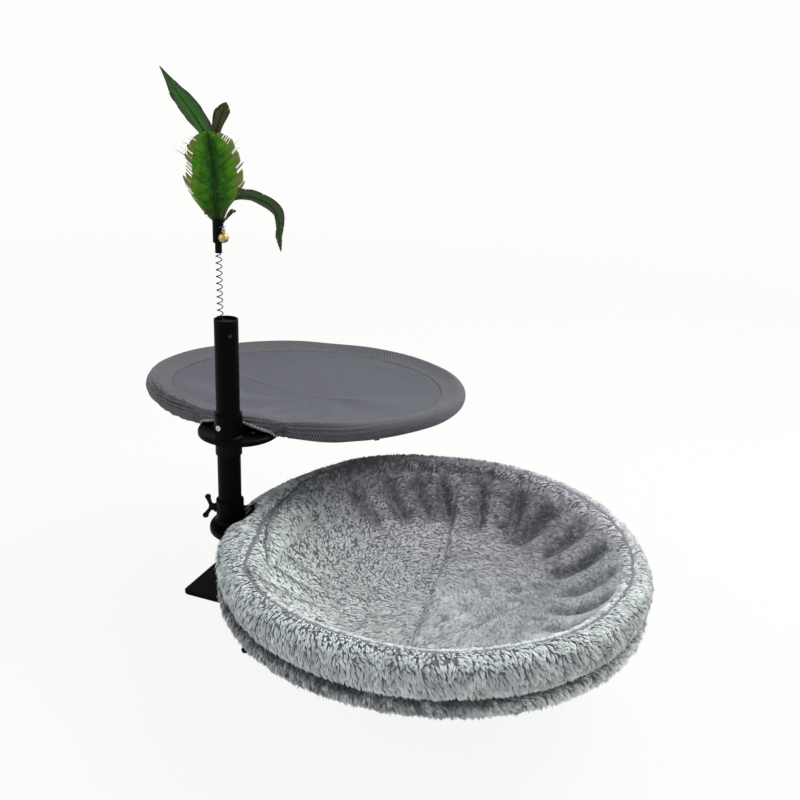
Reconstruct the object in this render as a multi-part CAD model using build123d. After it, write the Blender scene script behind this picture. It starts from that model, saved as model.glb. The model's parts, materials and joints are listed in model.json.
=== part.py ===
from build123d import *
import math
import os

# Millimetres. Origin on the desk top below the post's axis, +Z up, +X out over the desk's edge.
os.makedirs("parts", exist_ok=True)

# Clamp plates
PLATE_SIDE = 88.0
PLATE_T = 5.0
PLATE_CORNER_R = 5.0
PLATE_EDGE_R = 1.2
PAD_T = 2.0
PAD_INSET = 1.5
LIP_T = 5.0
LIP_DEPTH = 16.0
LIP_W = 40.0
SPINE_T = 4.0
SPINE_CORNER_R = 4.0
SPINE_TOP_DROP = 2.0
JAW_T = 6.0
JAW_GAP = 53.0
JAW_NEAR_X = 13.0
JAW_LIP_DEPTH = 19.0
JAW_CORNER_R = 6.0
BOLT_R = 3.0
BOLT_CLEAR = 0.05
BOLT_HEAD_R = 5.2
BOLT_HEAD_H = 3.2
BOLT_SPACING_HALF = 12.0
BOLT_SOCKET_R = 1.9
BOLT_SOCKET_DEPTH = 1.8
TOP_BOLT_DROP = 9.0
JAW_BOLT_RISE = 7.0
PAD_TOP_REST = -15.0

# Clamp screw
SCREW_R = 5.0
SCREW_X = 25.0
SCREW_FIT = 0.08
THREAD_CREST = 0.5
THREAD_PITCH = 1.5
THREAD_RINGS = 7
THREAD_RING_PITCH = 6.0
BOSS_R = 10.0
BOSS_H = 7.0
SCREW_LEN = 48.0
SCREW_HEAD_R = 8.0
SCREW_HEAD_H = 13.0
SCREW_HEAD_EDGE = 1.5
FOOT_R = 18.5
FOOT_T = 3.0
FOOT_CUP_R = 8.0
FOOT_CUP_H = 6.0
FOOT_PAD_R = 18.0
FOOT_PAD_T = 2.5
BALL_R = 4.2
BALL_SEAT_GAP = 0.08
BALL_MOUTH_SHARE = 0.82
BAR_R = 3.0
BAR_FIT = 0.08
BAR_LEN = 60.0
BAR_SHIFT = 16.0
BAR_CAP_R = 4.6
BAR_CAP_LEN = 7.0
BAR_CAP_GRIP = 5.0

# Post
POST_R = 14.2
POST_BORE_R = 12.6
POST_JOINT_Z = 214.0
POST_TOP_Z = 355.5
POST_RIM_R = 0.5
PLUG_R = 12.52
PLUG_H = 24.0
POST_BOLT_R = 4.0
POST_BOLT_HEAD_R = 8.0
POST_BOLT_HEAD_H = 3.4
POST_BOLT_RISE = 18.0
SPIGOT_HALF = 30.0
SPIGOT_BORE_R = 10.5
CAP_RECESS = 3.5
CAP_H = 26.0
CAP_SKIRT_R = 10.6
CAP_FLOOR = 7.0
CAP_SCREW_DROP = 17.0
CAP_SCREW_R = 1.5
CAP_SCREW_HEAD_R = 2.4
CAP_SCREW_HEAD_H = 1.1
CAP_SCREW_AZ = -42.0

# Brackets: a liner that slides on the post, and a hub with its flange that turns on the liner
LINER_FIT = 0.08
LINER_OUT_R = 15.3
LINER_SKIRT_R = 16.1
HUB_FIT = 0.08
HUB_R = 17.0
HUB_H = 28.0
LINER_TOP_PROUD = 1.2
LINER_SKIRT_BOTTOM = -24.0
FLANGE_R = 50.0
FLANGE_OFFSET = 26.5
FLANGE_T = 2.5
FLANGE_LIP = 6.0
FLANGE_BEND_R = 3.2
HUB_BEAD = 2.2
LOWER_Z = 95.5
UPPER_Z = 210.0
LOWER_AZ = 9.0
UPPER_AZ = 92.8

# Rings and their saddle clips
TUBE_R = 6.0
RING_NEAR = 23.8
LOWER_RING_R = 236.0
UPPER_RING_R = 216.0
LOWER_DROOP = 0.3
UPPER_DROOP = 4.4
LOWER_RING_RISE = 6.06
UPPER_RING_RISE = 6.6
CLIP_ALONG = 24.0
CLIP_W = 10.0
CLIP_T = 1.6
CLIP_GAP = 0.15
CLIP_FOOT = 8.5
CLIP_SCREW_R = 2.0
CLIP_SCREW_FIT = 0.05
CLIP_SCREW_HEAD_R = 3.3
CLIP_SCREW_HEAD_H = 1.8
CLIP_SCREW_LEN = 4.6
CLIP_SLOT_W = 0.9
CLIP_SLOT_D = 0.8

# Collar screws
WING_RISE = 14.0
WING_BOSS_R = 6.0
WING_BOSS_OUT = 19.6
WING_SHANK_R = 3.0
WING_TIP_GAP = 0.1
WING_NECK_R = 4.6
WING_NECK_IN = 20.6
WING_NECK_OUT = 27.5
WING_LOBE_R = 3.4
WING_LOBE_ALONG = 11.6
WING_LOBE_OUT = 31.0
WING_ARM_HALF = 2.1
WING_T = 3.6
WING_TURN = 22.0
SET_RISE = 13.8
SET_AZ = 167.0
SET_SHANK_R = 2.6
SET_HEAD_R = 3.4
SET_HEAD_IN = 17.1
SET_HEAD_H = 1.7
SET_SOCKET_R = 1.9
SET_SOCKET_D = 1.3

# Upper sling of air mesh: a rim sleeve sewn round the tube and a sagging panel
SLEEVE_OUT_R = 8.8
SLEEVE_IN_R = 6.15
SLEEVE_SEAM = 26.0
MESH_T = 2.4
SEAM_DROP = 4.0
MESH_SAG = 24.0
ARCH_CLEAR = 3.5
MESH_SAG_POWER = 2.2
PANEL_STATION_SHARES = (0, 0.25, 0.5, 0.75, 1.0)
TAB_AZ = -117.0
TAB_W = 14.0
TAB_T = 2.0
TAB_DROP = 11.0

# Lower plush bed
ROLL_HALF_W = 22.0
ROLL_HALF_H = 24.0
ROLL_DROP = 12.0
ROLL_TUBE_CLEAR = 0.15
BAND_HALF_W = 20.0
BAND_HALF_H = 14.0
BAND_IN = 1.5
BAND_DROP = 39.0
BED_DEPTH = 81.0
DISH_TOP_SHARES = [(0.000, -0.790), (0.254, -0.778), (0.508, -0.716), (0.699, -0.580), (0.839, -0.309), (0.949, 0.000)]
DISH_BOTTOM_SHARES = [(0.966, -0.469), (0.869, -0.642), (0.720, -0.827), (0.508, -0.938), (0.254, -0.988), (0.000, -1.000)]
BED_POST_CLEAR_R = 30.0
BED_POCKET_R = 51.2
BED_POCKET_GAP = 0.7
HOOD_R = 56.0
HOOD_WALL = 4.0
HOOD_EDGE_R = 3.4
CLIP_POCKET_R = 9.0
CLIP_POCKET_HALF = 7.0
CLIP_POCKET_RISE = 4.6
TUCK_COUNT = 26
TUCK_FROM_AZ = -65.0
TUCK_TO_AZ = 120.0
TUCK_R = 4.5
TUCK_OUTER_SHARES = (0.915, -0.16)
TUCK_INNER_SHARES = (0.70, -0.56)

# Teaser on its spring. U runs to the right in the front view, along the direction TEASER_AZ.
TEASER_AZ = 31.2
TEASER_U = -6.5
SPRING_R = 3.3
WIRE_R = 0.45
SPRING_PITCH = 7.9
SPRING_TURNS = 10
SPRING_FOOT_SINK = 2.5
COLLAR_R = 3.9
COLLAR_H = 12.0
COLLAR_BORE_DEPTH = 2.2
CAP_SLEEVE_R = 6.2
CAP_SLEEVE_H = 26.0
EYE_R = 3.2
EYE_WIRE = 0.6
EYE_DROP = 7.0
EYE_OUT = 3.4
EYE_AZ = 28.0
BELL_R = 5.8
BELL_T = 0.6
BELL_LUG_R = 1.8
BELL_LUG_WIRE = 0.55
BELL_SINK = 0.3
LINK_GAP = 0.35
BELL_SLOT_W = 1.2
BELL_HOLE_R = 1.5
BELL_BELT_R = 0.5
BALL_IN_R = 1.6
LINK_R = 2.4
LINK_WIRE = 0.5
FEATHER_T = 1.1
FEATHER_STEPS = 3
QUILL_R = 0.75
FEATHER_SPREAD = 70.0
FEATHER_RISE = 161.0
FEATHER_W = 54.0
DEPTH_STEP = 1.5
LONG_SHARES = [(-0.016, -0.031, 0.030), (-0.021, 0.180, 0.056), (-0.030, 0.366, 0.111), (-0.097, 0.565, 0.278), (-0.229, 0.658, 0.352), (-0.396, 0.758, 0.315), (-0.584, 0.870, 0.204), (-0.807, 1.000, 0.019)]
OLIVE_SHARES = [(0.016, -0.031, 0.030), (0.030, 0.242, 0.037), (0.019, 0.478, 0.074), (0.021, 0.621, 0.185), (0.047, 0.696, 0.222), (0.171, 0.783, 0.022)]
BROAD_SHARES = [(0.006, -0.031, 0.130), (-0.019, 0.106, 0.741), (-0.024, 0.211, 1.000), (-0.027, 0.335, 1.000), (-0.030, 0.460, 0.870), (-0.041, 0.565, 0.630), (-0.064, 0.665, 0.148)]
DROOP_SHARES = [(0.044, -0.031, 0.037), (0.159, 0.112, 0.148), (0.376, 0.160, 0.204), (0.636, 0.143, 0.259), (0.857, 0.087, 0.222), (0.959, -0.002, 0.157), (0.970, -0.112, 0.111), (1.003, -0.224, 0.019)]
TUFT_SHARES = [(0.059, -0.031, 0.037), (0.190, 0.043, 0.083), (0.287, 0.065, 0.019)]
SPUR_SHARES = [(-0.043, -0.031, 0.037), (-0.121, 0.037, 0.074), (-0.214, 0.041, 0.019)]


def cyl(radius, height, at=(0, 0, 0)):
    return Pos(*at) * Cylinder(radius, height, align=(Align.CENTER, Align.CENTER, Align.MIN))


def block(xs, ys, zs):
    size = (xs[1] - xs[0], ys[1] - ys[0], zs[1] - zs[0])
    return Pos(xs[0], ys[0], zs[0]) * Box(*size, align=(Align.MIN, Align.MIN, Align.MIN))


def rod(radius, start, end):
    """A round bar between two points."""
    axis = Vector(*end) - Vector(*start)
    plane = Plane(origin=start, z_dir=axis)
    return plane * Cylinder(radius, axis.length, align=(Align.CENTER, Align.CENTER, Align.MIN))


def spin(face_lines):
    """Revolves a closed run of (r, z) lines in the XZ plane about Z."""
    return revolve(Plane.XZ * make_face(face_lines), Axis.Z)


def save(shape, name):
    shapes = shape if isinstance(shape, list) else [shape]
    solids = [s for item in shapes for s in item.solids()]
    body = solids[0] if len(solids) == 1 else Compound(children=solids)
    export_step(body, f"parts/{name}.step")
    print(name, len(solids), round(sum(s.volume for s in solids)))


def turned(points):
    """A solid of revolution from (r, z) corners."""
    return spin(Polyline(*points, close=True))


def button_bolt(shank_r, shank_len, head_r, head_h, socket_r, socket_d):
    """Head base at z=0 with the shank below it."""
    head = cyl(head_r, head_h)
    head = fillet(head.edges().group_by(Axis.Z)[-1], head_h * ROUND_SHARE)
    hexagon = extrude(RegularPolygon(socket_r, 6), -socket_d)
    return head + cyl(shank_r, shank_len, (0, 0, -shank_len)) - Pos(0, 0, head_h) * hexagon


ROUND_SHARE = 0.45

plate_bottom = PAD_T
plate_top = PAD_T + PLATE_T
half_side = PLATE_SIDE / 2
lip_x = half_side
spine_x = lip_x + LIP_T
spine_out_x = spine_x + SPINE_T
jaw_top = -JAW_GAP
jaw_bottom = jaw_top - JAW_T
jaw_lip_bottom = jaw_top - JAW_LIP_DEPTH
top_bolt_z = plate_top - TOP_BOLT_DROP
jaw_bolt_z = jaw_lip_bottom + JAW_BOLT_RISE
bolt_ys = (-BOLT_SPACING_HALF, BOLT_SPACING_HALF)

# Top plate with its turned-down lip
plate = Pos(0, 0, plate_bottom) * extrude(RectangleRounded(PLATE_SIDE, PLATE_SIDE, PLATE_CORNER_R), PLATE_T)
plate = fillet(plate.edges().group_by(Axis.Z)[-1], PLATE_EDGE_R)
lip = block((lip_x - PLATE_CORNER_R, spine_x), (-LIP_W / 2, LIP_W / 2), (plate_bottom, plate_top))
lip = lip + block((lip_x, spine_x), (-LIP_W / 2, LIP_W / 2), (plate_top - LIP_DEPTH, plate_top))
lip = fillet(lip.edges().filter_by(Axis.Y).group_by(Axis.Z)[-1].group_by(Axis.X)[-1], LIP_T * ROUND_SHARE)
plate = plate + lip
post_bolt_head_top = plate_bottom + POST_BOLT_HEAD_H
plate = plate - cyl(POST_BOLT_R + BOLT_CLEAR, PLATE_T, (0, 0, plate_bottom))
plate = plate - cyl(POST_BOLT_HEAD_R + BOLT_CLEAR, POST_BOLT_HEAD_H, (0, 0, plate_bottom))
for y in bolt_ys:
    plate = plate - rod(BOLT_R + BOLT_CLEAR, (lip_x - LIP_T, y, top_bolt_z), (spine_x + LIP_T, y, top_bolt_z))
save(plate, "clamp_top_plate")

pad_side = PLATE_SIDE - PAD_INSET * 2
pad = extrude(RectangleRounded(pad_side, pad_side, PLATE_CORNER_R - PAD_INSET), PAD_T)
save(pad, "top_pad")

# Spine and lower jaw
spine = block((spine_x, spine_out_x), (-LIP_W / 2, LIP_W / 2), (jaw_lip_bottom, plate_top - SPINE_TOP_DROP))
spine = fillet(spine.edges().filter_by(Axis.X), SPINE_CORNER_R)
jaw = block((JAW_NEAR_X, lip_x), (-LIP_W / 2, LIP_W / 2), (jaw_bottom, jaw_top))
jaw = fillet(jaw.edges().filter_by(Axis.Z).group_by(Axis.X)[0], JAW_CORNER_R)
jaw = jaw + block((lip_x, spine_x), (-LIP_W / 2, LIP_W / 2), (jaw_lip_bottom, jaw_top))
jaw = fillet(jaw.edges().filter_by(Axis.Y).group_by(Axis.Z)[-1].group_by(Axis.X)[-1], LIP_T * ROUND_SHARE)
jaw = jaw - cyl(SCREW_R + SCREW_FIT, JAW_T, (SCREW_X, 0, jaw_bottom))
for y in bolt_ys:
    spine = spine - rod(BOLT_R + BOLT_CLEAR, (lip_x, y, top_bolt_z), (spine_out_x + SPINE_T, y, top_bolt_z))
    spine = spine - rod(BOLT_R + BOLT_CLEAR, (lip_x, y, jaw_bolt_z), (spine_out_x + SPINE_T, y, jaw_bolt_z))
    jaw = jaw - rod(BOLT_R + BOLT_CLEAR, (lip_x - LIP_T, y, jaw_bolt_z), (spine_out_x, y, jaw_bolt_z))
save(spine, "clamp_spine")
save(jaw, "lower_jaw")

boss = cyl(BOSS_R, BOSS_H, (SCREW_X, 0, jaw_bottom - BOSS_H))
boss = chamfer(boss.edges().group_by(Axis.Z)[0], THREAD_CREST * 2)
boss = boss - cyl(SCREW_R + SCREW_FIT, BOSS_H, (SCREW_X, 0, jaw_bottom - BOSS_H))
save(boss, "jaw_nut")

bolt = button_bolt(BOLT_R, LIP_T + SPINE_T, BOLT_HEAD_R, BOLT_HEAD_H, BOLT_SOCKET_R, BOLT_SOCKET_DEPTH)
outward = Rot(0, 90, 0)
save([Pos(spine_out_x, y, top_bolt_z) * outward * bolt for y in bolt_ys], "spine_bolts")
save([Pos(spine_out_x, y, jaw_bolt_z) * outward * bolt for y in bolt_ys], "jaw_bolts")

# Pressure foot, screw and tommy bar
foot_top = PAD_TOP_REST - FOOT_PAD_T
foot_bottom = foot_top - FOOT_T
ball_z = foot_bottom - FOOT_CUP_H / 2
foot_pad = cyl(FOOT_PAD_R, FOOT_PAD_T, (SCREW_X, 0, foot_top))
foot_pad = fillet(foot_pad.edges().group_by(Axis.Z)[-1], FOOT_PAD_T * ROUND_SHARE)
save(foot_pad, "pressure_pad")
foot = cyl(FOOT_R, FOOT_T, (SCREW_X, 0, foot_bottom))
foot = fillet(foot.edges(), FOOT_T * ROUND_SHARE)
foot = foot + cyl(FOOT_CUP_R, FOOT_CUP_H + FOOT_T / 2, (SCREW_X, 0, foot_bottom - FOOT_CUP_H))
foot = foot - Pos(SCREW_X, 0, ball_z) * Sphere(BALL_R + BALL_SEAT_GAP)
neck_hole_r = BALL_R * BALL_MOUTH_SHARE
foot = foot - cyl(neck_hole_r, FOOT_CUP_H, (SCREW_X, 0, ball_z - FOOT_CUP_H))
save(foot, "pressure_plate")

screw_top = foot_bottom - FOOT_CUP_H - THREAD_CREST * 2
screw_bottom = screw_top - SCREW_LEN
neck_r = neck_hole_r - THREAD_CREST * 2
screw = Pos(SCREW_X, 0, ball_z) * Sphere(BALL_R)
screw = screw + cyl(neck_r, ball_z - screw_top, (SCREW_X, 0, screw_top))
profile = [(0, screw_top), (SCREW_R - THREAD_CREST, screw_top)]
groove_top = screw_top - THREAD_PITCH
for k in range(THREAD_RINGS):
    z = groove_top - k * THREAD_RING_PITCH
    profile += [(SCREW_R, z), (SCREW_R, z - THREAD_RING_PITCH + THREAD_PITCH)]
    profile += [(SCREW_R - THREAD_CREST, z - THREAD_RING_PITCH + THREAD_PITCH / 2)]
profile += [(SCREW_R, screw_bottom), (0, screw_bottom)]
screw = screw + Pos(SCREW_X, 0, 0) * turned(profile)
head_bottom = screw_bottom - SCREW_HEAD_H
head = cyl(SCREW_HEAD_R, SCREW_HEAD_H, (SCREW_X, 0, head_bottom))
head = chamfer(head.edges(), SCREW_HEAD_EDGE)
screw = screw + head
bar_z = head_bottom + SCREW_HEAD_H / 2
bar_half = BAR_LEN / 2
screw = screw - rod(BAR_R + BAR_FIT, (SCREW_X, -bar_half, bar_z), (SCREW_X, bar_half, bar_z))
bar_near = BAR_SHIFT - bar_half
bar_far = BAR_SHIFT + bar_half
save(screw, "clamp_screw")
save(rod(BAR_R, (SCREW_X, bar_near, bar_z), (SCREW_X, bar_far, bar_z)), "tommy_bar")
cap = cyl(BAR_CAP_R, BAR_CAP_LEN)
cap = fillet(cap.edges().group_by(Axis.Z)[-1], BAR_CAP_R * ROUND_SHARE)
cap = cap - cyl(BAR_R + BAR_FIT / 2, BAR_CAP_GRIP)
cap_a = Pos(SCREW_X, bar_far - BAR_CAP_GRIP, bar_z) * Rot(-90, 0, 0) * cap
cap_b = Pos(SCREW_X, bar_near + BAR_CAP_GRIP, bar_z) * Rot(90, 0, 0) * cap
save([cap_a, cap_b], "bar_caps")

# Post
plug = cyl(PLUG_R, PLUG_H, (0, 0, plate_top)) - cyl(POST_BOLT_R + BOLT_CLEAR, POST_BOLT_RISE, (0, 0, plate_top))
save(plug, "post_foot_plug")
post_bolt = cyl(POST_BOLT_HEAD_R, POST_BOLT_HEAD_H, (0, 0, plate_bottom))
post_bolt = post_bolt + cyl(POST_BOLT_R, plate_top + POST_BOLT_RISE - BOLT_CLEAR - post_bolt_head_top, (0, 0, post_bolt_head_top))
save(post_bolt, "post_bolt")
tube = cyl(POST_R, POST_JOINT_Z - plate_top, (0, 0, plate_top)) - cyl(POST_BORE_R, POST_JOINT_Z, (0, 0, 0))
save(tube, "lower_post")
tube = cyl(POST_R, POST_TOP_Z - POST_JOINT_Z, (0, 0, POST_JOINT_Z))
tube = fillet(tube.edges().group_by(Axis.Z)[-1], POST_RIM_R)
tube = tube - cyl(POST_BORE_R, POST_TOP_Z, (0, 0, 0))
cap_screw_z = POST_TOP_Z - CAP_SCREW_DROP
screw_dir = (math.cos(math.radians(CAP_SCREW_AZ)), math.sin(math.radians(CAP_SCREW_AZ)))


def along(distance, z):
    return (screw_dir[0] * distance, screw_dir[1] * distance, z)


tube = tube - rod(CAP_SCREW_R + BOLT_CLEAR, along(CAP_SKIRT_R, cap_screw_z), along(HUB_R, cap_screw_z))
save(tube, "upper_post")
spigot = cyl(PLUG_R, SPIGOT_HALF * 2, (0, 0, POST_JOINT_Z - SPIGOT_HALF))
spigot = spigot - cyl(SPIGOT_BORE_R, SPIGOT_HALF * 2, (0, 0, POST_JOINT_Z - SPIGOT_HALF))
save(spigot, "post_spigot")

# Cap that holds the spring's foot
teaser_dir = (math.cos(math.radians(TEASER_AZ)), math.sin(math.radians(TEASER_AZ)))
teaser_x = teaser_dir[0] * TEASER_U
teaser_y = teaser_dir[1] * TEASER_U
cap_top = POST_TOP_Z - CAP_RECESS
spring_base_z = cap_top
end_cap = cyl(PLUG_R, CAP_H, (0, 0, cap_top - CAP_H))
end_cap = fillet(end_cap.edges().group_by(Axis.Z)[-1], POST_RIM_R)
end_cap = end_cap - cyl(CAP_SKIRT_R, CAP_H - CAP_FLOOR, (0, 0, cap_top - CAP_H))
foot_hole = cyl(WIRE_R + BOLT_CLEAR, SPRING_FOOT_SINK, (teaser_x + SPRING_R, teaser_y, cap_top - SPRING_FOOT_SINK))
end_cap = end_cap - foot_hole
end_cap = end_cap - rod(CAP_SCREW_R + BOLT_CLEAR, along(CAP_SKIRT_R - CAP_SCREW_R, cap_screw_z), along(HUB_R, cap_screw_z))
save(end_cap, "post_end_cap")
cap_screw = rod(CAP_SCREW_R, along(CAP_SKIRT_R, cap_screw_z), along(POST_R, cap_screw_z))
flat_out = POST_R + CAP_SCREW_HEAD_H
cap_head = rod(CAP_SCREW_HEAD_R, along(POST_R - BOLT_CLEAR * 2, cap_screw_z), along(flat_out, cap_screw_z))
cap_head = cap_head - rod(POST_R, (0, 0, 0), (0, 0, POST_TOP_Z))
cap_screw = cap_screw + cap_head
save(cap_screw, "cap_screw")


# Brackets, in a frame of their own: +X towards the hammock, z=0 on top of the flange
def flange_profile():
    outer = FLANGE_R
    flat = outer - FLANGE_BEND_R
    inner = outer - FLANGE_T
    mid = math.sqrt(0.5)
    bend = (flat + FLANGE_BEND_R * mid, -FLANGE_BEND_R + FLANGE_BEND_R * mid)
    lines = [
        Line((0, 0), (flat, 0)),
        ThreePointArc((flat, 0), bend, (outer, -FLANGE_BEND_R)),
        Line((outer, -FLANGE_BEND_R), (outer, -FLANGE_LIP)),
        Line((outer, -FLANGE_LIP), (inner, -FLANGE_LIP)),
        Line((inner, -FLANGE_LIP), (inner, -FLANGE_T)),
        Line((inner, -FLANGE_T), (0, -FLANGE_T)),
        Line((0, -FLANGE_T), (0, 0)),
    ]
    return Curve() + lines


def clip_frames(ring_r):
    """Both clips' places: a turn about the ring's centre that keeps each square to the tube."""
    turn = math.degrees(math.asin(CLIP_ALONG / ring_r))
    centre = RING_NEAR + ring_r
    return [Pos(centre, 0, 0) * Rot(0, 0, a) * Pos(-centre, 0, 0) for a in (turn, -turn)]


inner_foot_x = RING_NEAR - TUBE_R - CLIP_T - CLIP_FOOT / 2
outer_foot_x = RING_NEAR + TUBE_R + CLIP_T + CLIP_FOOT / 2
hub_bore = LINER_OUT_R + HUB_FIT


def hub_flange(ring_r, screw_kind):
    body = Pos(FLANGE_OFFSET, 0, 0) * spin(flange_profile())
    body = body + cyl(HUB_R, HUB_H + FLANGE_T, (0, 0, -FLANGE_T))
    bead = spin(Polyline((0, 0), (HUB_R + HUB_BEAD, 0), (HUB_R, HUB_BEAD), (0, HUB_BEAD), close=True))
    body = body + bead
    if screw_kind == "wing":
        body = body + rod(WING_BOSS_R, (0, 0, WING_RISE), (-WING_BOSS_OUT, 0, WING_RISE))
        body = body - rod(WING_SHANK_R + BOLT_CLEAR, (0, 0, WING_RISE), (-WING_LOBE_OUT, 0, WING_RISE))
    else:
        face = Rot(0, 0, SET_AZ)
        body = body - face * rod(SET_SHANK_R + BOLT_CLEAR, (0, 0, SET_RISE), (FLANGE_R, 0, SET_RISE))
    body = body - cyl(hub_bore, HUB_H * 2, (0, 0, -HUB_H))
    for frame in clip_frames(ring_r):
        for x in (inner_foot_x, outer_foot_x):
            body = body - frame * cyl(CLIP_SCREW_R + CLIP_SCREW_FIT, FLANGE_LIP * 2, (x, 0, -FLANGE_LIP))
    return body


def liner():
    bottom = LINER_SKIRT_BOTTOM
    top = HUB_H + LINER_TOP_PROUD
    seat = -FLANGE_T
    bore = POST_R + LINER_FIT
    points = [(bore, bottom), (LINER_SKIRT_R, bottom), (LINER_SKIRT_R, seat)]
    points += [(LINER_OUT_R, seat), (LINER_OUT_R, top), (bore, top)]
    return turned(points)


def clips(ring_r, rise):
    out_r = TUBE_R + CLIP_GAP + CLIP_T
    in_r = TUBE_R + CLIP_GAP
    half = CLIP_W / 2
    far = TUBE_R * 3
    strap = rod(out_r, (RING_NEAR, -half, rise), (RING_NEAR, half, rise))
    strap = strap + block((RING_NEAR - out_r, RING_NEAR + out_r), (-half, half), (0, rise))
    foot_reach = TUBE_R + CLIP_T + CLIP_FOOT
    strap = strap + block((RING_NEAR - foot_reach, RING_NEAR + foot_reach), (-half, half), (0, CLIP_T))
    strap = strap - rod(in_r, (RING_NEAR, -far, rise), (RING_NEAR, far, rise))
    strap = strap - block((RING_NEAR - in_r, RING_NEAR + in_r), (-far, far), (-rise, rise))
    for x in (inner_foot_x, outer_foot_x):
        strap = strap - cyl(CLIP_SCREW_R + CLIP_SCREW_FIT, CLIP_T, (x, 0, 0))
    strap = strap & block((RING_NEAR - far, RING_NEAR + far), (-half, half), (0, far * 2))
    return [frame * strap for frame in clip_frames(ring_r)]


def clip_screws(ring_r):
    head = cyl(CLIP_SCREW_HEAD_R, CLIP_SCREW_HEAD_H, (0, 0, CLIP_T))
    head = fillet(head.edges().group_by(Axis.Z)[-1], CLIP_SCREW_HEAD_H * ROUND_SHARE)
    head = head + cyl(CLIP_SCREW_R, CLIP_SCREW_LEN + CLIP_T, (0, 0, -CLIP_SCREW_LEN))
    top = CLIP_T + CLIP_SCREW_HEAD_H
    reach = CLIP_SCREW_HEAD_R * ROUND_SHARE * 2
    slot_half = CLIP_SLOT_W / 2
    for xs, ys in (((-reach / 2, reach / 2), (-slot_half, slot_half)), ((-slot_half, slot_half), (-reach / 2, reach / 2))):
        head = head - block(xs, ys, (top - CLIP_SLOT_D, top + CLIP_SLOT_D))
    return [frame * Pos(x, 0, 0) * head for frame in clip_frames(ring_r) for x in (inner_foot_x, outer_foot_x)]


def ring_place(ring_r, droop, rise):
    """From the ring's own frame, centred and level, to the bracket's."""
    return Pos(RING_NEAR, 0, rise) * Rot(0, droop, 0) * Pos(ring_r, 0, 0)


lower = Pos(0, 0, LOWER_Z) * Rot(0, 0, LOWER_AZ)
upper = Pos(0, 0, UPPER_Z) * Rot(0, 0, UPPER_AZ)
lower_ring = lower * ring_place(LOWER_RING_R, LOWER_DROOP, LOWER_RING_RISE)
upper_ring = upper * ring_place(UPPER_RING_R, UPPER_DROOP, UPPER_RING_RISE)

save(lower * hub_flange(LOWER_RING_R, "wing"), "lower_hub_flange")
save(upper * hub_flange(UPPER_RING_R, "set"), "upper_hub_flange")
save(lower * liner(), "lower_liner")
save(upper * liner(), "upper_liner")
save(lower_ring * Torus(LOWER_RING_R, TUBE_R), "lower_ring")
save(upper_ring * Torus(UPPER_RING_R, TUBE_R), "upper_ring")
save([lower * c for c in clips(LOWER_RING_R, LOWER_RING_RISE)], "lower_clips")
save([upper * c for c in clips(UPPER_RING_R, UPPER_RING_RISE)], "upper_clips")
save([lower * s for s in clip_screws(LOWER_RING_R)], "lower_clip_screws")
save([upper * s for s in clip_screws(UPPER_RING_R)], "upper_clip_screws")

# Wing bolt: its axis runs along -X of the bracket; drawn along +Z first
tip = LINER_OUT_R + WING_TIP_GAP
wing = cyl(WING_SHANK_R, WING_NECK_IN - tip, (0, 0, tip))
neck = cyl(WING_NECK_R, WING_NECK_OUT - WING_NECK_IN, (0, 0, WING_NECK_IN))
neck = fillet(neck.edges().group_by(Axis.Z)[-1], WING_NECK_R * ROUND_SHARE)
wing = wing + neck
arm = Polyline(
    (0, WING_NECK_IN + WING_ARM_HALF),
    (WING_LOBE_ALONG + WING_ARM_HALF / 2, WING_LOBE_OUT - WING_ARM_HALF),
    (WING_LOBE_ALONG - WING_ARM_HALF, WING_LOBE_OUT + WING_ARM_HALF),
    (0, WING_NECK_OUT - WING_ARM_HALF / 2),
    close=True,
)
blade = make_face(arm) + Pos(WING_LOBE_ALONG, WING_LOBE_OUT) * Circle(WING_LOBE_R)
blade = Plane.XZ * blade
blade = Pos(0, WING_T / 2, 0) * extrude(blade, WING_T)
wing = wing + blade + Rot(0, 0, 180) * blade
wing_place = lower * Pos(0, 0, WING_RISE) * Rot(0, -90, 0) * Rot(0, 0, WING_TURN)
save(wing_place * wing, "wing_bolt")

set_screw = cyl(SET_SHANK_R, SET_HEAD_IN - tip, (0, 0, tip)) + cyl(SET_HEAD_R, SET_HEAD_H, (0, 0, SET_HEAD_IN))
socket = extrude(RegularPolygon(SET_SOCKET_R, 6), -SET_SOCKET_D)
set_screw = set_screw - Pos(0, 0, SET_HEAD_IN + SET_HEAD_H) * socket
set_screw = chamfer(set_screw.edges().group_by(Axis.Z)[-1].filter_by(GeomType.CIRCLE), BOLT_CLEAR * 6)
set_place = upper * Rot(0, 0, SET_AZ) * Pos(0, 0, SET_RISE) * Rot(0, 90, 0)
save(set_place * set_screw, "collar_set_screw")

# Upper sling, in the ring's frame: tube centreline at r = UPPER_RING_R, z = 0
arch_r = FLANGE_R + ARCH_CLEAR
arch_post = Pos(FLANGE_OFFSET, 0, 0) * cyl(arch_r, arch_r * 4, (0, 0, -arch_r * 2))
upper_arch = upper * arch_post


def sag(r):
    """The panel's top under the seam's radius: deepest in the middle."""
    rim = UPPER_RING_R - SLEEVE_SEAM
    share = min(1.0, r / rim)
    return -SEAM_DROP - (MESH_SAG - SEAM_DROP) * (1.0 - share ** MESH_SAG_POWER)


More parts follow.
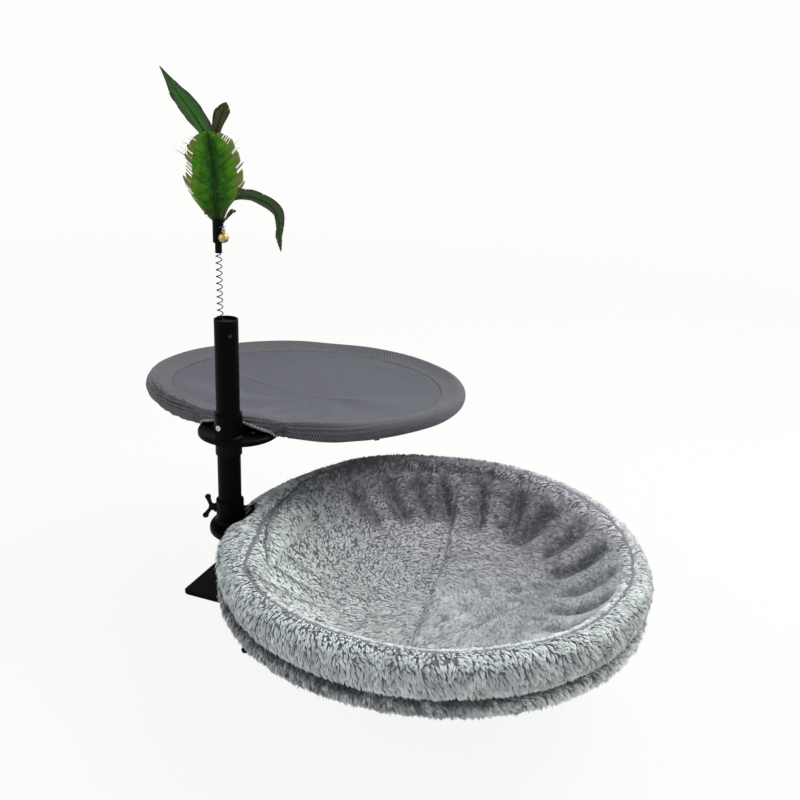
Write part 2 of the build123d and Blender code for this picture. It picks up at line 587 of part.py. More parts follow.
seam_r = UPPER_RING_R - SLEEVE_SEAM
seam_mid = -SEAM_DROP - MESH_T / 2
lean = math.atan2(-seam_mid, SLEEVE_SEAM)
up_x = UPPER_RING_R - SLEEVE_OUT_R * math.sin(lean)
top_touch = (up_x, SLEEVE_OUT_R * math.cos(lean))
low_touch = (UPPER_RING_R - SLEEVE_OUT_R * math.sin(lean), -SLEEVE_OUT_R * math.cos(lean))
sleeve_face = Plane.XZ * (
    make_face(Polyline((seam_r, -SEAM_DROP), top_touch, low_touch, (seam_r, -SEAM_DROP - MESH_T), close=True))
    + Pos(UPPER_RING_R, 0) * Circle(SLEEVE_OUT_R)
    - Pos(UPPER_RING_R, 0) * Circle(SLEEVE_IN_R)
)
mesh_sleeve = upper_ring * revolve(sleeve_face, Axis.Z) - upper_arch
save(mesh_sleeve, "mesh_rim_sleeve")

stations = [share * seam_r for share in PANEL_STATION_SHARES]
panel_top = [(r, sag(r)) for r in stations]
panel_bottom = [(r, sag(r) - MESH_T) for r in stations]
panel_lines = Curve() + [
    Spline(*panel_top, tangents=[(1, 0), (panel_top[-1][0] - panel_top[-2][0], panel_top[-1][1] - panel_top[-2][1])]),
    Line(panel_top[-1], panel_bottom[-1]),
    Spline(*panel_bottom, tangents=[(1, 0), (panel_top[-1][0] - panel_top[-2][0], panel_top[-1][1] - panel_top[-2][1])]),
    Line(panel_bottom[0], panel_top[0]),
]
panel = spin(panel_lines)
mesh_panel = upper_ring * panel - upper_arch
save(mesh_panel, "mesh_panel")

tab_face = block((UPPER_RING_R - TAB_T / 2, UPPER_RING_R + TAB_T / 2), (-TAB_W / 2, TAB_W / 2), (-SLEEVE_OUT_R - TAB_DROP, -SLEEVE_OUT_R / 2))
tab = Rot(0, 0, TAB_AZ) * tab_face
tab = upper_ring * tab - mesh_sleeve - upper_ring * Torus(UPPER_RING_R, SLEEVE_OUT_R)
save(tab, "mesh_tab")

# Lower bed, in its ring's frame
def oval(r, z, half_w, half_h, arcs=6):
    """An oval section closed by short arcs."""
    def at(k):
        a = math.pi * k / arcs
        return (r + half_w * math.cos(a), z + half_h * math.sin(a))
    return make_face(Curve() + [ThreePointArc(at(k), at(k + 1), at(k + 2)) for k in range(0, 2 * arcs, 2)])


roll_face = oval(LOWER_RING_R, -ROLL_DROP, ROLL_HALF_W, ROLL_HALF_H)
band_face = oval(LOWER_RING_R - BAND_IN, -BAND_DROP, BAND_HALF_W, BAND_HALF_H)
dish_top = [(r * LOWER_RING_R, z * BED_DEPTH) for r, z in DISH_TOP_SHARES]
dish_bottom = [(r * LOWER_RING_R, z * BED_DEPTH) for r, z in DISH_BOTTOM_SHARES]
dish_lines = Curve() + [
    Spline(*dish_top, tangents=[(1, 0), (dish_top[-1][0] - dish_top[-2][0], dish_top[-1][1] - dish_top[-2][1])]),
    Line(dish_top[-1], dish_bottom[0]),
    Spline(*dish_bottom, tangents=[(dish_bottom[1][0] - dish_bottom[0][0], dish_bottom[1][1] - dish_bottom[0][1]), (-1, 0)]),
    Line(dish_bottom[-1], dish_top[0]),
]
dish_face = make_face(dish_lines) - roll_face - band_face
band_cut = band_face - roll_face

hood_top = -LOWER_RING_RISE + BED_POCKET_GAP + HOOD_WALL
hood_low = -LOWER_RING_RISE - FLANGE_LIP - BED_POCKET_GAP - HOOD_WALL
hood_centre = FLANGE_OFFSET - RING_NEAR - LOWER_RING_R
hood = Pos(hood_centre, 0, hood_low) * cyl(HOOD_R, hood_top - hood_low)
hood = fillet(hood.edges(), HOOD_EDGE_R)
hood_trim = block((-LOWER_RING_R, LOWER_RING_R), (-HOOD_R * 2, HOOD_R * 2), (-LOWER_RING_R, LOWER_RING_R))
hood = hood & hood_trim
pocket = Pos(FLANGE_OFFSET, 0, 0) * cyl(BED_POCKET_R, FLANGE_LIP + BED_POCKET_GAP * 2, (0, 0, -FLANGE_LIP - BED_POCKET_GAP))
pocket = pocket + cyl(BED_POST_CLEAR_R, LOWER_RING_R, (0, 0, -LOWER_RING_R / 2))
half = CLIP_POCKET_HALF
for frame in clip_frames(LOWER_RING_R):
    x_low = inner_foot_x - CLIP_FOOT / 2 - BED_POCKET_GAP
    x_high = outer_foot_x + CLIP_FOOT / 2 + BED_POCKET_GAP
    pocket = pocket + frame * block((x_low, x_high), (-half, half), (0, CLIP_POCKET_RISE))
    pocket = pocket + frame * rod(CLIP_POCKET_R, (RING_NEAR, -half, LOWER_RING_RISE), (RING_NEAR, half, LOWER_RING_RISE))
pocket = lower * pocket

roll_solid = revolve(Plane.XZ * roll_face, Axis.Z)
band_solid = revolve(Plane.XZ * band_cut, Axis.Z)
inner_tube = Torus(LOWER_RING_R, TUBE_R + ROLL_TUBE_CLEAR)
bed_roll = lower_ring * (roll_solid + hood) - pocket
bed_roll = bed_roll - lower_ring * inner_tube
save(bed_roll, "bed_rim_roll")
bed_band = lower_ring * (band_solid - hood) - pocket
save(bed_band, "bed_under_band")

dish = revolve(Plane.XZ * dish_face, Axis.Z)
for k in range(TUCK_COUNT):
    az = TUCK_FROM_AZ + (TUCK_TO_AZ - TUCK_FROM_AZ) * k / (TUCK_COUNT - 1)
    out_p = (TUCK_OUTER_SHARES[0] * LOWER_RING_R, 0, TUCK_OUTER_SHARES[1] * BED_DEPTH)
    in_p = (TUCK_INNER_SHARES[0] * LOWER_RING_R, 0, TUCK_INNER_SHARES[1] * BED_DEPTH)
    dish = dish - Rot(0, 0, az) * rod(TUCK_R, out_p, in_p)
bed_dish = lower_ring * (dish - hood) - pocket
save(bed_dish, "bed_dish")


# Teaser: spring, collar, sleeve, bell and feathers
def biarc(p0, t0, p1, t1):
    """Two arcs that leave p0 along t0 and reach p1 along t1."""
    v = p1 - p0
    a = 2 * (1 - t0.dot(t1))
    b = 2 * v.dot(t0 + t1)
    c = -v.dot(v)
    d = -c / b if abs(a) < 1e-9 else (-b + math.sqrt(b * b - 4 * a * c)) / (2 * a)
    q0 = p0 + t0 * d
    q1 = p1 - t1 * d
    mid = (q0 + q1) * 0.5
    return [arc_from(p0, t0, mid), arc_from(p1, t1 * -1, mid, True)]


def arc_from(start, tangent, end, backwards=False):
    chord = end - start
    unit = chord.normalized()
    side = tangent - unit * tangent.dot(unit)
    angle = tangent.get_angle(chord)
    middle = start + chord * 0.5 + side.normalized() * (chord.length / 2 * math.tan(math.radians(angle) / 2))
    points = (end, middle, start) if backwards else (start, middle, end)
    return ThreePointArc(*points)


spring_h = SPRING_PITCH * SPRING_TURNS


def helix_point(turn):
    a = 2 * math.pi * turn
    x = teaser_x + SPRING_R * math.cos(a)
    y = teaser_y + SPRING_R * math.sin(a)
    return Vector(x, y, spring_base_z + WIRE_R * 3 + SPRING_PITCH * turn)


def helix_tangent(turn):
    a = 2 * math.pi * turn
    rise = SPRING_PITCH / (2 * math.pi)
    return Vector(-SPRING_R * math.sin(a), SPRING_R * math.cos(a), rise).normalized()


steps = SPRING_TURNS * 4
edges = []
foot_start = Vector(teaser_x + SPRING_R, teaser_y, spring_base_z - SPRING_FOOT_SINK + BOLT_CLEAR)
foot_end = foot_start + Vector(0, 0, SPRING_FOOT_SINK)
first = helix_point(0.25)
edges.append(Line(foot_start, foot_end))
edges += biarc(foot_end, Vector(0, 0, 1), first, helix_tangent(0.25))
for k in range(1, steps - 1):
    a = k / 4
    b = (k + 1) / 4
    edges += biarc(helix_point(a), helix_tangent(a), helix_point(b), helix_tangent(b))
last = (steps - 1) / 4
top_start = helix_point(SPRING_TURNS) + Vector(0, 0, WIRE_R * 2)
edges += biarc(helix_point(last), helix_tangent(last), top_start, Vector(0, 0, 1))
top_end = top_start + Vector(0, 0, WIRE_R * 4)
edges.append(Line(top_start, top_end))
path = Wire([e.edge() if hasattr(e, "edge") else e for e in edges])
section = Plane(origin=foot_start, z_dir=(0, 0, 1)) * Circle(WIRE_R)
spring = sweep(section, path=path)
save(spring, "teaser_spring")
points = [path.position_at(k / 1600) for k in range(1601)]
gap = min(
    (points[i] - points[j]).length
    for i in range(0, 1601, 4)
    for j in range(i + 60, 1601, 4)
)
print("spring least gap to itself", round(gap - 2 * WIRE_R, 2))

collar_z = top_end.Z - COLLAR_BORE_DEPTH + BOLT_CLEAR
collar = cyl(COLLAR_R, COLLAR_H, (teaser_x, teaser_y, collar_z))
collar = fillet(collar.edges().group_by(Axis.Z)[0], BOLT_CLEAR * 8)
collar = collar - cyl(WIRE_R + BOLT_CLEAR, COLLAR_BORE_DEPTH, (teaser_x + SPRING_R, teaser_y, collar_z))
save(collar, "teaser_collar")
sleeve_z = collar_z + COLLAR_H
sleeve_top = sleeve_z + CAP_SLEEVE_H
sleeve = cyl(CAP_SLEEVE_R, CAP_SLEEVE_H, (teaser_x, teaser_y, sleeve_z))
sleeve = fillet(sleeve.edges().group_by(Axis.Z)[0], BOLT_CLEAR * 10)
save(sleeve, "feather_sleeve")
print("sleeve", round(sleeve_z, 1), round(sleeve_top, 1))

side_dir = Vector(teaser_dir[0], teaser_dir[1], 0)
front_dir = Vector(teaser_dir[1], -teaser_dir[0], 0)
axis_at = Vector(teaser_x, teaser_y, 0)


def plane_at(u, depth, z, x_dir, z_dir):
    origin = axis_at + side_dir * u + front_dir * depth + Vector(0, 0, z)
    return Plane(origin=tuple(origin), x_dir=tuple(x_dir), z_dir=tuple(z_dir))


# The eye stands out of the sleeve to the front right; link and bell hang from it
turn_out = math.radians(EYE_AZ)
out_dir = side_dir * math.sin(turn_out) + front_dir * math.cos(turn_out)
across = Vector(-out_dir.Y, out_dir.X, 0)
eye_centre = axis_at + out_dir * (CAP_SLEEVE_R + EYE_OUT) + Vector(0, 0, sleeve_top - EYE_DROP)
eye = Plane(origin=tuple(eye_centre), x_dir=tuple(out_dir), z_dir=(0, 0, 1)) * Torus(EYE_R, EYE_WIRE)
eye = eye - cyl(CAP_SLEEVE_R, CAP_SLEEVE_H, (teaser_x, teaser_y, sleeve_z))
eye = max(eye.solids(), key=lambda s: s.volume)
save(eye, "bell_eye")
pivot = eye_centre + out_dir * EYE_R
link_rise = EYE_WIRE + LINK_WIRE + LINK_GAP
link_centre = pivot + Vector(0, 0, link_rise - LINK_R)
link = Plane(origin=tuple(link_centre), x_dir=tuple(out_dir), z_dir=tuple(across)) * Torus(LINK_R, LINK_WIRE)
save(link, "bell_link")
print("bell pivot", [round(v, 3) for v in pivot], "axis", [round(-v, 4) for v in across])
lug_centre = link_centre + Vector(0, 0, LINK_WIRE + BELL_LUG_WIRE + BOLT_CLEAR - LINK_R - BELL_LUG_R)
lug = Plane(origin=tuple(lug_centre), x_dir=tuple(across), z_dir=tuple(out_dir)) * Torus(BELL_LUG_R, BELL_LUG_WIRE)
bell_centre = lug_centre - Vector(0, 0, BELL_LUG_R + BELL_R - BELL_SINK)
print("bell centre", [round(v, 2) for v in bell_centre])
ball_in_z = bell_centre.Z - BELL_R + BELL_T + BALL_IN_R + BOLT_CLEAR
bell = Pos(*bell_centre) * Sphere(BELL_R)
belt = Pos(*bell_centre) * Torus(BELL_R, BELL_BELT_R)
bell = bell + belt + lug - Pos(*bell_centre) * Sphere(BELL_R - BELL_T)
slot = block((-BELL_R, BELL_R), (-BELL_SLOT_W / 2, BELL_SLOT_W / 2), (-BELL_R * 2, -BELL_R / 2))
bell = bell - Pos(*bell_centre) * slot
for sign in (-1, 1):
    bell = bell - Pos(*bell_centre) * rod(BELL_HOLE_R, (sign * BELL_R, 0, -BELL_R / 2), (sign * BELL_R / 2, 0, -BELL_R / 4))
save(max(bell.solids(), key=lambda s: s.volume), "bell")
ball_in = Pos(bell_centre.X, bell_centre.Y, ball_in_z) * Sphere(BALL_IN_R)
save(ball_in, "bell_ball")


def smooth(values, t):
    """Catmull-Rom through equally spaced values; t counts from the first."""
    top = len(values) - 1
    i = min(int(t), top - 1)
    f = t - i
    a, b, c, d = (values[min(max(j, 0), top)] for j in (i - 1, i, i + 1, i + 2))
    return b + f * ((c - a) + f * ((2 * a - 5 * b + 4 * c - d) + f * (3 * (b - c) + d - a))) / 2


def feather(shares, depth):
    """A vane lofted through flat ovals; shares are (right, up, width) and depth sets it before or behind."""
    parts = (len(shares) - 1) * FEATHER_STEPS
    ts = [k / FEATHER_STEPS for k in range(parts + 1)]
    us = [share[0] * FEATHER_SPREAD for share in shares]
    zs = [share[1] * FEATHER_RISE for share in shares]
    ws = [share[2] * FEATHER_W for share in shares]
    rows = [(smooth(us, t), smooth(zs, t), max(smooth(ws, t), min(ws))) for t in ts]
    sections = []
    for i, (u, z, width) in enumerate(rows):
        before = rows[max(i - 1, 0)]
        after = rows[min(i + 1, parts)]
        along_v = side_dir * (after[0] - before[0]) + Vector(0, 0, after[1] - before[1])
        across_v = along_v.cross(front_dir)
        at = axis_at + side_dir * u + front_dir * depth + Vector(0, 0, sleeve_top + z)
        plane = Plane(origin=tuple(at), x_dir=tuple(across_v), z_dir=tuple(along_v))
        share = min(1.0, width / max(ws))
        sections.append(plane * Ellipse(width / 2, max(FEATHER_T * math.sqrt(share), QUILL_R) / 2))
    return loft(sections, ruled=True)


feather_rows = [
    ("feather_long", LONG_SHARES, -DEPTH_STEP),
    ("feather_olive", OLIVE_SHARES, -DEPTH_STEP * 2),
    ("feather_broad", BROAD_SHARES, 0),
    ("feather_droop", DROOP_SHARES, DEPTH_STEP),
    ("feather_tuft", TUFT_SHARES, DEPTH_STEP * 2),
    ("feather_spur", SPUR_SHARES, DEPTH_STEP * 2),
]
hold = cyl(CAP_SLEEVE_R * 2, CAP_SLEEVE_H, (teaser_x, teaser_y, sleeve_z))
for name, shares, depth in feather_rows:
    vane = feather(shares, depth) - hold
    save(max(vane.solids(), key=lambda s: s.volume), name)
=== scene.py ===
# %% [markdown]
# # A desk cat hammock
# A clamp holds a black steel post on a desk. Two round beds turn on collars round the post:
# a sling of grey air mesh above, and a deep plush bed below. A spring in the post's top
# carries a bunch of dyed feathers and a small bell.
# The exact parts come from a CAD model, which stays fixed. Blender adds what CAD can't:
# cloth, pile, barbs of feathers, and the finish of each material.

import json
import math

import bpy
import numpy as np
from mathutils import Matrix, Vector
from mathutils.kdtree import KDTree

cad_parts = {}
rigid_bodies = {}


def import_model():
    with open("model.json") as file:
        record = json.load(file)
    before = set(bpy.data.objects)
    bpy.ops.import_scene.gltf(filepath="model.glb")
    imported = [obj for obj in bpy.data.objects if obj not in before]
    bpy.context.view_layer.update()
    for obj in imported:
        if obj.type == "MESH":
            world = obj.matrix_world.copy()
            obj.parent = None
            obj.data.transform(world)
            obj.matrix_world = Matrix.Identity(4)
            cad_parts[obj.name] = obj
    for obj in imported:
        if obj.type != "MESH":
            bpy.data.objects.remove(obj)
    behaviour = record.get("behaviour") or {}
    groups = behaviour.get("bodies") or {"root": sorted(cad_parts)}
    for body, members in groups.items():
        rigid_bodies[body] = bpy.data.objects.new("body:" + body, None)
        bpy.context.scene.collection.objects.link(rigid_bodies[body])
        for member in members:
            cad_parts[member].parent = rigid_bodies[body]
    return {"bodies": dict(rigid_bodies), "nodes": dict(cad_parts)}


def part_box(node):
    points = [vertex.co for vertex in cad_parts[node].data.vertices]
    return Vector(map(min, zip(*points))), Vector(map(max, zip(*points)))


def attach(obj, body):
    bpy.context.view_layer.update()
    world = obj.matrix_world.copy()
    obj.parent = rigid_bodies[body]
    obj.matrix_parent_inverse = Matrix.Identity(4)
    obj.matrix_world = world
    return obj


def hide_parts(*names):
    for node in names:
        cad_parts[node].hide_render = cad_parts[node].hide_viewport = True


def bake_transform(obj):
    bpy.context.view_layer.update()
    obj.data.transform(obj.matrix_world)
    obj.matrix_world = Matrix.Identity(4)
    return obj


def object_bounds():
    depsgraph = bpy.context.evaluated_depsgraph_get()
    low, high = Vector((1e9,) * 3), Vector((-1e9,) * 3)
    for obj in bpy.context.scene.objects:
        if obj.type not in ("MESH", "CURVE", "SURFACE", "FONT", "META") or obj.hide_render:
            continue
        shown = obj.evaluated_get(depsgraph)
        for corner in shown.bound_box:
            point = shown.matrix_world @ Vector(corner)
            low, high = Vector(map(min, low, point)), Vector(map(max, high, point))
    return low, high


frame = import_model()
own = {*frame["nodes"].values(), *frame["bodies"].values()}
for left_over in [o for o in bpy.data.objects if o not in own]:
    bpy.data.objects.remove(left_over)
cad_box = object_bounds()
MM = 0.001
print("CAD box", [[round(v, 3) for v in corner] for corner in cad_box])

# %% [markdown]
# ## Camera
# The photograph was taken from the front right, a little above the upper sling. The camera
# could be placed by eye, but lines that are known to be upright or round give it exactly:
# the post, the two rims and the plate's corner were fitted together. The roll of about two
# degrees is the photographer's.

# %% Camera
EYE = Vector((0.5879, -0.9706, 0.6827))
LOOK = Vector((-0.3319, 0.8754, -0.3513)).normalized()
ROLL = 0.042
level = LOOK.cross(Vector((0.0, 0.0, 1.0))).normalized()
raised = level.cross(LOOK)
screen_right = level * math.cos(ROLL) + raised * math.sin(ROLL)
screen_up = raised * math.cos(ROLL) - level * math.sin(ROLL)
lens = bpy.data.cameras.new("desk_view")
lens.lens = 45.0
lens.sensor_width = 36.0
lens.sensor_fit = "HORIZONTAL"
camera = bpy.data.objects.new("desk_view", lens)
turn = Matrix((screen_right, screen_up, -LOOK)).transposed().to_4x4()
camera.matrix_world = Matrix.Translation(EYE) @ turn
bpy.context.scene.collection.objects.link(camera)
bpy.context.scene.camera = camera
print("camera looks", [round(v, 3) for v in LOOK])

# %% [markdown]
# ## Tools for materials
# A shader is a small graph. One function adds any node, gives it its settings and fills its
# inputs, either with a value or with a link from another node. Three more shorten what
# every material needs: a mix of two colours, a stretched range, and a sum. Colours are
# written as the sRGB hex codes that a paint chart would give, and turned to the linear
# values that light is added up in.


# %% Colour and node helpers
def linear(code, alpha=1.0):
    """An sRGB hex code as linear RGBA."""
    parts = [int(code[i : i + 2], 16) / 255 for i in (1, 3, 5)]
    return [c / 12.92 if c <= 0.04045 else ((c + 0.055) / 1.055) ** 2.4 for c in parts] + [alpha]


def add(material, kind, inputs=None, **settings):
    """Adds one node with its settings; each input takes a value or a link."""
    made = material.node_tree.nodes.new("ShaderNode" + kind)
    for name, value in settings.items():
        setattr(made, name, value)
    for socket, value in (inputs or {}).items():
        if isinstance(value, bpy.types.NodeSocket):
            material.node_tree.links.new(value, made.inputs[socket])
        else:
            made.inputs[socket].default_value = value
    return made


def new_material(name):
    material = bpy.data.materials.new(name)
    material.use_nodes = True
    material.node_tree.nodes.clear()
    return material


def two_colours(material, share, first, second):
    """A mix of two colours, each a hex code or a link, by a share from 0 to 1."""
    first, second = [linear(c) if isinstance(c, str) else c for c in (first, second)]
    return add(material, "Mix", {0: share, 6: first, 7: second}, data_type="RGBA").outputs[2]


def spread(material, value, low, high, to_low=0.0, to_high=1.0, kind="LINEAR"):
    """Stretches low..high to to_low..to_high and holds both ends."""
    ends = {"Value": value, "From Min": low, "From Max": high, "To Min": to_low, "To Max": to_high}
    return add(material, "MapRange", ends, interpolation_type=kind).outputs[0]


def sum_up(material, operation, first, second, **settings):
    """One step of arithmetic on two values or links."""
    return add(material, "Math", {0: first, 1: second}, operation=operation, **settings).outputs[0]


def finish_material(material, inputs):
    """Puts a Principled shader with these inputs on the surface."""
    shader = add(material, "BsdfPrincipled", inputs)
    add(material, "OutputMaterial", {"Surface": shader.outputs[0]})
    return material


print("white is", [round(v, 3) for v in linear("#ffffff")])

# %% [markdown]
# ## Powder-coated steel
# The post, the clamp and both brackets are mild steel with a black satin powder coat. The
# powder melts into a skin with a very fine orange peel, so the highlight is soft and a bit
# broken. Grains of 1.2 mm are drawn a little coarser than real ones so that they show.
# A Bevel node rounds the sharp CAD edges to a coat's 0.5 mm for the light alone.

# %% Powder coat


def powder_coated_steel(name, rough):
    material = new_material(name)
    place = add(material, "TexCoord").outputs["Object"]
    peel = add(material, "TexNoise", {"Vector": place, "Scale": 1 / (1.2 * MM), "Detail": 2.0})
    cloudy = {"Vector": place, "Scale": 1 / (45 * MM), "Detail": 5.0, "Roughness": 0.7}
    dust = add(material, "TexNoise", cloudy).outputs["Fac"]
    rounded = add(material, "Bevel", {"Radius": 0.5 * MM}, samples=4).outputs[0]
    skin = {"Height": peel.outputs["Fac"], "Strength": 0.22, "Distance": 0.15 * MM, "Normal": rounded}
    return finish_material(
        material,
        {
            "Base Color": two_colours(material, dust, "#020203", "#0a0a0c"),
            "Roughness": spread(material, dust, 0.3, 0.7, rough - 0.05, rough + 0.07),
            "IOR": 1.5,
            "Specular IOR Level": 0.03,
            "Normal": add(material, "Bump", skin).outputs[0],
        },
    )


satin_coat = powder_coated_steel("powder_coated_steel", 0.42)
gloss_coat = powder_coated_steel("powder_coated_bracket_steel", 0.33)
print("powder coats", satin_coat.name, gloss_coat.name)

# %% [markdown]
# ## Zinc plate, blackened steel, spring wire and gilt brass
# Small fittings are bare metal. A metal has no colour under its shine, so its base colour is
# what it reflects: zinc a cool white, brass a warm yellow. Drawn and turned pieces carry fine
# marks, made with noise that only shifts the roughness and lifts the surface by microns.

# %% Metals


def bare_metal(name, bright, dull, rough, mark_mm):
    material = new_material(name)
    place = add(material, "TexCoord").outputs["Object"]
    drawn = {"Vector": place, "Scale": 1 / (mark_mm * MM), "Detail": 4.0}
    marks = add(material, "TexNoise", drawn).outputs["Fac"]
    bump = add(material, "Bump", {"Height": marks, "Strength": 0.12, "Distance": 0.08 * MM})
    return finish_material(
        material,
        {
            "Base Color": two_colours(material, marks, dull, bright),
            "Metallic": 1.0,
            "Roughness": spread(material, marks, 0.0, 1.0, rough - 0.06, rough + 0.1),
            "Normal": bump.outputs[0],
        },
    )


zinc_plate = bare_metal("zinc_plated_steel", "#d6d8da", "#a9acb0", 0.28, 1.6)
black_screw = bare_metal("blackened_screw_steel", "#3a3a3d", "#232325", 0.38, 1.2)
music_wire = bare_metal("drawn_spring_wire", "#232427", "#101113", 0.38, 0.8)
gilt_brass = bare_metal("gilt_brass", "#dcc084", "#6d5426", 0.26, 2.6)
print("metals ready")

# %% [markdown]
# ## Nylon and rubber
# The wing bolt, the liners and the post's cap are moulded nylon with a fine spark-eroded
# grain of about half a millimetre. The pads are nitrile rubber: darker, matt, with a slight
# bloom in patches.

# %% Plastics


def moulded(name, dark, light, rough, grain_mm, depth):
    material = new_material(name)
    place = add(material, "TexCoord").outputs["Object"]
    grains = {"Vector": place, "Scale": 1 / (grain_mm * MM)}
    grain = add(material, "TexVoronoi", grains, feature="SMOOTH_F1").outputs["Distance"]
    bloom = add(material, "TexNoise", {"Vector": place, "Scale": 1 / (14 * MM), "Detail": 4.0})
    bump = add(material, "Bump", {"Height": grain, "Strength": depth, "Distance": 0.1 * MM})
    return finish_material(
        material,
        {
            "Base Color": two_colours(material, bloom.outputs["Fac"], dark, light),
            "Roughness": rough,
            "IOR": 1.53,
            "Specular IOR Level": 0.05,
            "Normal": bump.outputs[0],
        },
    )


nylon = moulded("moulded_nylon", "#030303", "#0c0c0d", 0.45, 0.6, 0.25)
rubber = moulded("nitrile_rubber", "#060606", "#101011", 0.8, 1.1, 0.4)
wrap = moulded("shrink_wrap", "#020202", "#09090a", 0.34, 1.8, 0.2)
print("plastics ready")

# %% [markdown]
# ## Dress the CAD parts
# Each rigid part keeps its CAD shape, because that is already right, and takes a finish by
# name. The frame says which part is which, so nothing has to be picked by hand.

# %% Finish each rigid part
FINISH_OF = {
    satin_coat: ["clamp_top_plate", "clamp_spine", "lower_jaw", "jaw_nut", "lower_post", "upper_post"],
    gloss_coat: ["lower_hub_flange", "upper_hub_flange", "lower_ring", "upper_ring"]
    + ["lower_clips", "upper_clips"],
    zinc_plate: ["post_bolt", "post_foot_plug", "post_spigot", "pressure_plate", "clamp_screw", "tommy_bar"]
    + ["collar_set_screw", "bell_link"],
    black_screw: ["cap_screw", "spine_bolts", "jaw_bolts", "lower_clip_screws", "upper_clip_screws"]
    + ["bell_eye", "bell_ball"],
    gilt_brass: ["bell"],
    nylon: ["post_end_cap", "lower_liner", "upper_liner", "wing_bolt", "bar_caps", "teaser_collar"],
    rubber: ["top_pad", "pressure_pad"],
    wrap: ["feather_sleeve"],
}
for finish, names in FINISH_OF.items():
    for name in names:
        part = frame["nodes"][name]
        part.data.materials.clear()
        part.data.materials.append(finish)
print("dressed", sum(len(names) for names in FINISH_OF.values()), "rigid parts")

# %% [markdown]
# ## Working in a ring's own place
# Each bed hangs on a ring that a bracket holds beside the post. A round bed is easiest to
# make about its own centre, so one matrix takes it from there to the bracket: out from the
# post to the ring, tilted by the ring's droop, and turned to where the bracket points.

# %% Ring places
FLANGE_OUT = 26.5  # the flange's centre, from the post's axis
RING_NEAR = 23.8  # where the ring comes nearest to the post's axis
BED_R, BED_RISE, BED_DROOP = 236.0, 6.06, 0.3
SLING_R, SLING_RISE, SLING_DROOP = 216.0, 6.6, 4.4


def bracket_arm(height, turned):
    """From a bracket's own frame, in mm, to the row frame in metres."""
    lifted = Matrix.Translation((0, 0, height))
    return Matrix.Scale(MM, 4) @ lifted @ Matrix.Rotation(math.radians(turned), 4, "Z")


def ring_place(arm, rise, droop, radius):
    """From a ring's own centre, in mm, to the row frame in metres."""
    out = Matrix.Translation((RING_NEAR, 0, rise)) @ Matrix.Rotation(math.radians(droop), 4, "Y")
    return np.array(arm @ out @ Matrix.Translation((radius, 0, 0)))


bed_arm = bracket_arm(95.5, 9.0)
sling_arm = bracket_arm(210.0, 92.8)
bed_place = ring_place(bed_arm, BED_RISE, BED_DROOP, BED_R)
sling_place = ring_place(sling_arm, SLING_RISE, SLING_DROOP, SLING_R)
POST_AZ = 180.0  # seen from a ring's centre, the post lies at this angle


def moved(points, place):
    """Points of shape (..., 3) through a 4 by 4 matrix."""
    return points @ place[:3, :3].T + place[:3, 3]


def wave(a, b, seed, count=5):
    """A smooth random field between about -1 and 1; it repeats once round the angle a."""
    rng = np.random.default_rng(seed)
    total = 0.0
    for _ in range(count):
        turns = rng.integers(1, 9)
        total = total + np.sin(turns * a + rng.uniform(0.01, 0.05) * b + rng.uniform(0, 6.28))
    return total / math.sqrt(count * 2.0)


def bell_curve(x, width):
    return np.exp(-((x / width) ** 2))


def gap_of_angles(a, b):
    """The smallest turn between angles in degrees."""
    return (a - b + 180.0) % 360.0 - 180.0


def ease(x, low, high):
    """0 below low, 1 above high, smooth between."""
    t = np.clip((x - low) / (high - low), 0.0, 1.0)
    return t * t * (3 - 2 * t)


for name, place in (("bed", bed_place), ("sling", sling_place)):
    print(name, "centre", [round(v, 3) for v in place[:3, 3]])

# %% [markdown]
# ## From a grid of points to a mesh
# Cloth is made here as a grid: rows across it, columns along it. A grid can close on itself
# in one direction or both, and carries a UV map in real millimetres, so that a weave keeps
# its size however the cloth is bent.


# %% Mesh makers
def new_object(name, vertices, faces, material, uv=None, uv_name="cloth_mm"):
    """uv gives one (u, v) for each vertex."""
    mesh = bpy.data.meshes.new(name)
    mesh.from_pydata(np.asarray(vertices).tolist(), [], [list(map(int, f)) for f in faces])
    mesh.materials.append(material)
    if uv is not None:
        layer = mesh.uv_layers.new(name=uv_name)
        corner = np.empty(len(mesh.loops), np.int32)
        mesh.loops.foreach_get("vertex_index", corner)
        layer.data.foreach_set("uv", np.asarray(uv, np.float32)[corner].ravel())
    mesh.shade_smooth()
    made = bpy.data.objects.new(name, mesh)
    bpy.context.scene.collection.objects.link(made)
    return made


def grid_faces(rows, columns, close_rows=False, close_columns=False):
    r = np.arange(rows if close_rows else rows - 1)
    c = np.arange(columns if close_columns else columns - 1)
    rr, cc = np.meshgrid(r, c, indexing="ij")
    r1, c1 = (rr + 1) % rows, (cc + 1) % columns
    quads = np.stack([rr * columns + cc, rr * columns + c1, r1 * columns + c1, r1 * columns + cc], -1)
    return quads.reshape(-1, 4)


def modifier(piece, kind, **settings):
    made = piece.modifiers.new(kind.lower(), kind)
    for name, value in settings.items():
        setattr(made, name, value)
    return made


def apply_modifiers(piece):
    """Bakes the modifiers into the mesh."""
    graph = bpy.context.evaluated_depsgraph_get()
    baked = bpy.data.meshes.new_from_object(piece.evaluated_get(graph))
    piece.modifiers.clear()
    old = piece.data
    piece.data = baked
    bpy.data.meshes.remove(old)


def carried(piece, body, slot, *nodes):
    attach(piece, body)
    if nodes:
        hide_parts(*nodes)
    print(piece.name, "faces", len(piece.data.polygons))


print("a grid of 4 by 3 points has", len(grid_faces(4, 3)), "faces")

# %% [markdown]
# ## Knitted air mesh
# The sling is polyester air mesh: a springy knit with staggered oval holes, about 3.2 mm
# apart. It could be a real net, but tens of thousands of holes would cost more than they
# show at this distance. So the holes are drawn: two Voronoi grids without randomness, half
# a cell apart, give the distance to the nearest hole, which darkens and dents the cloth.
# The yarn between has a cool sheen, as synthetic fibre has.

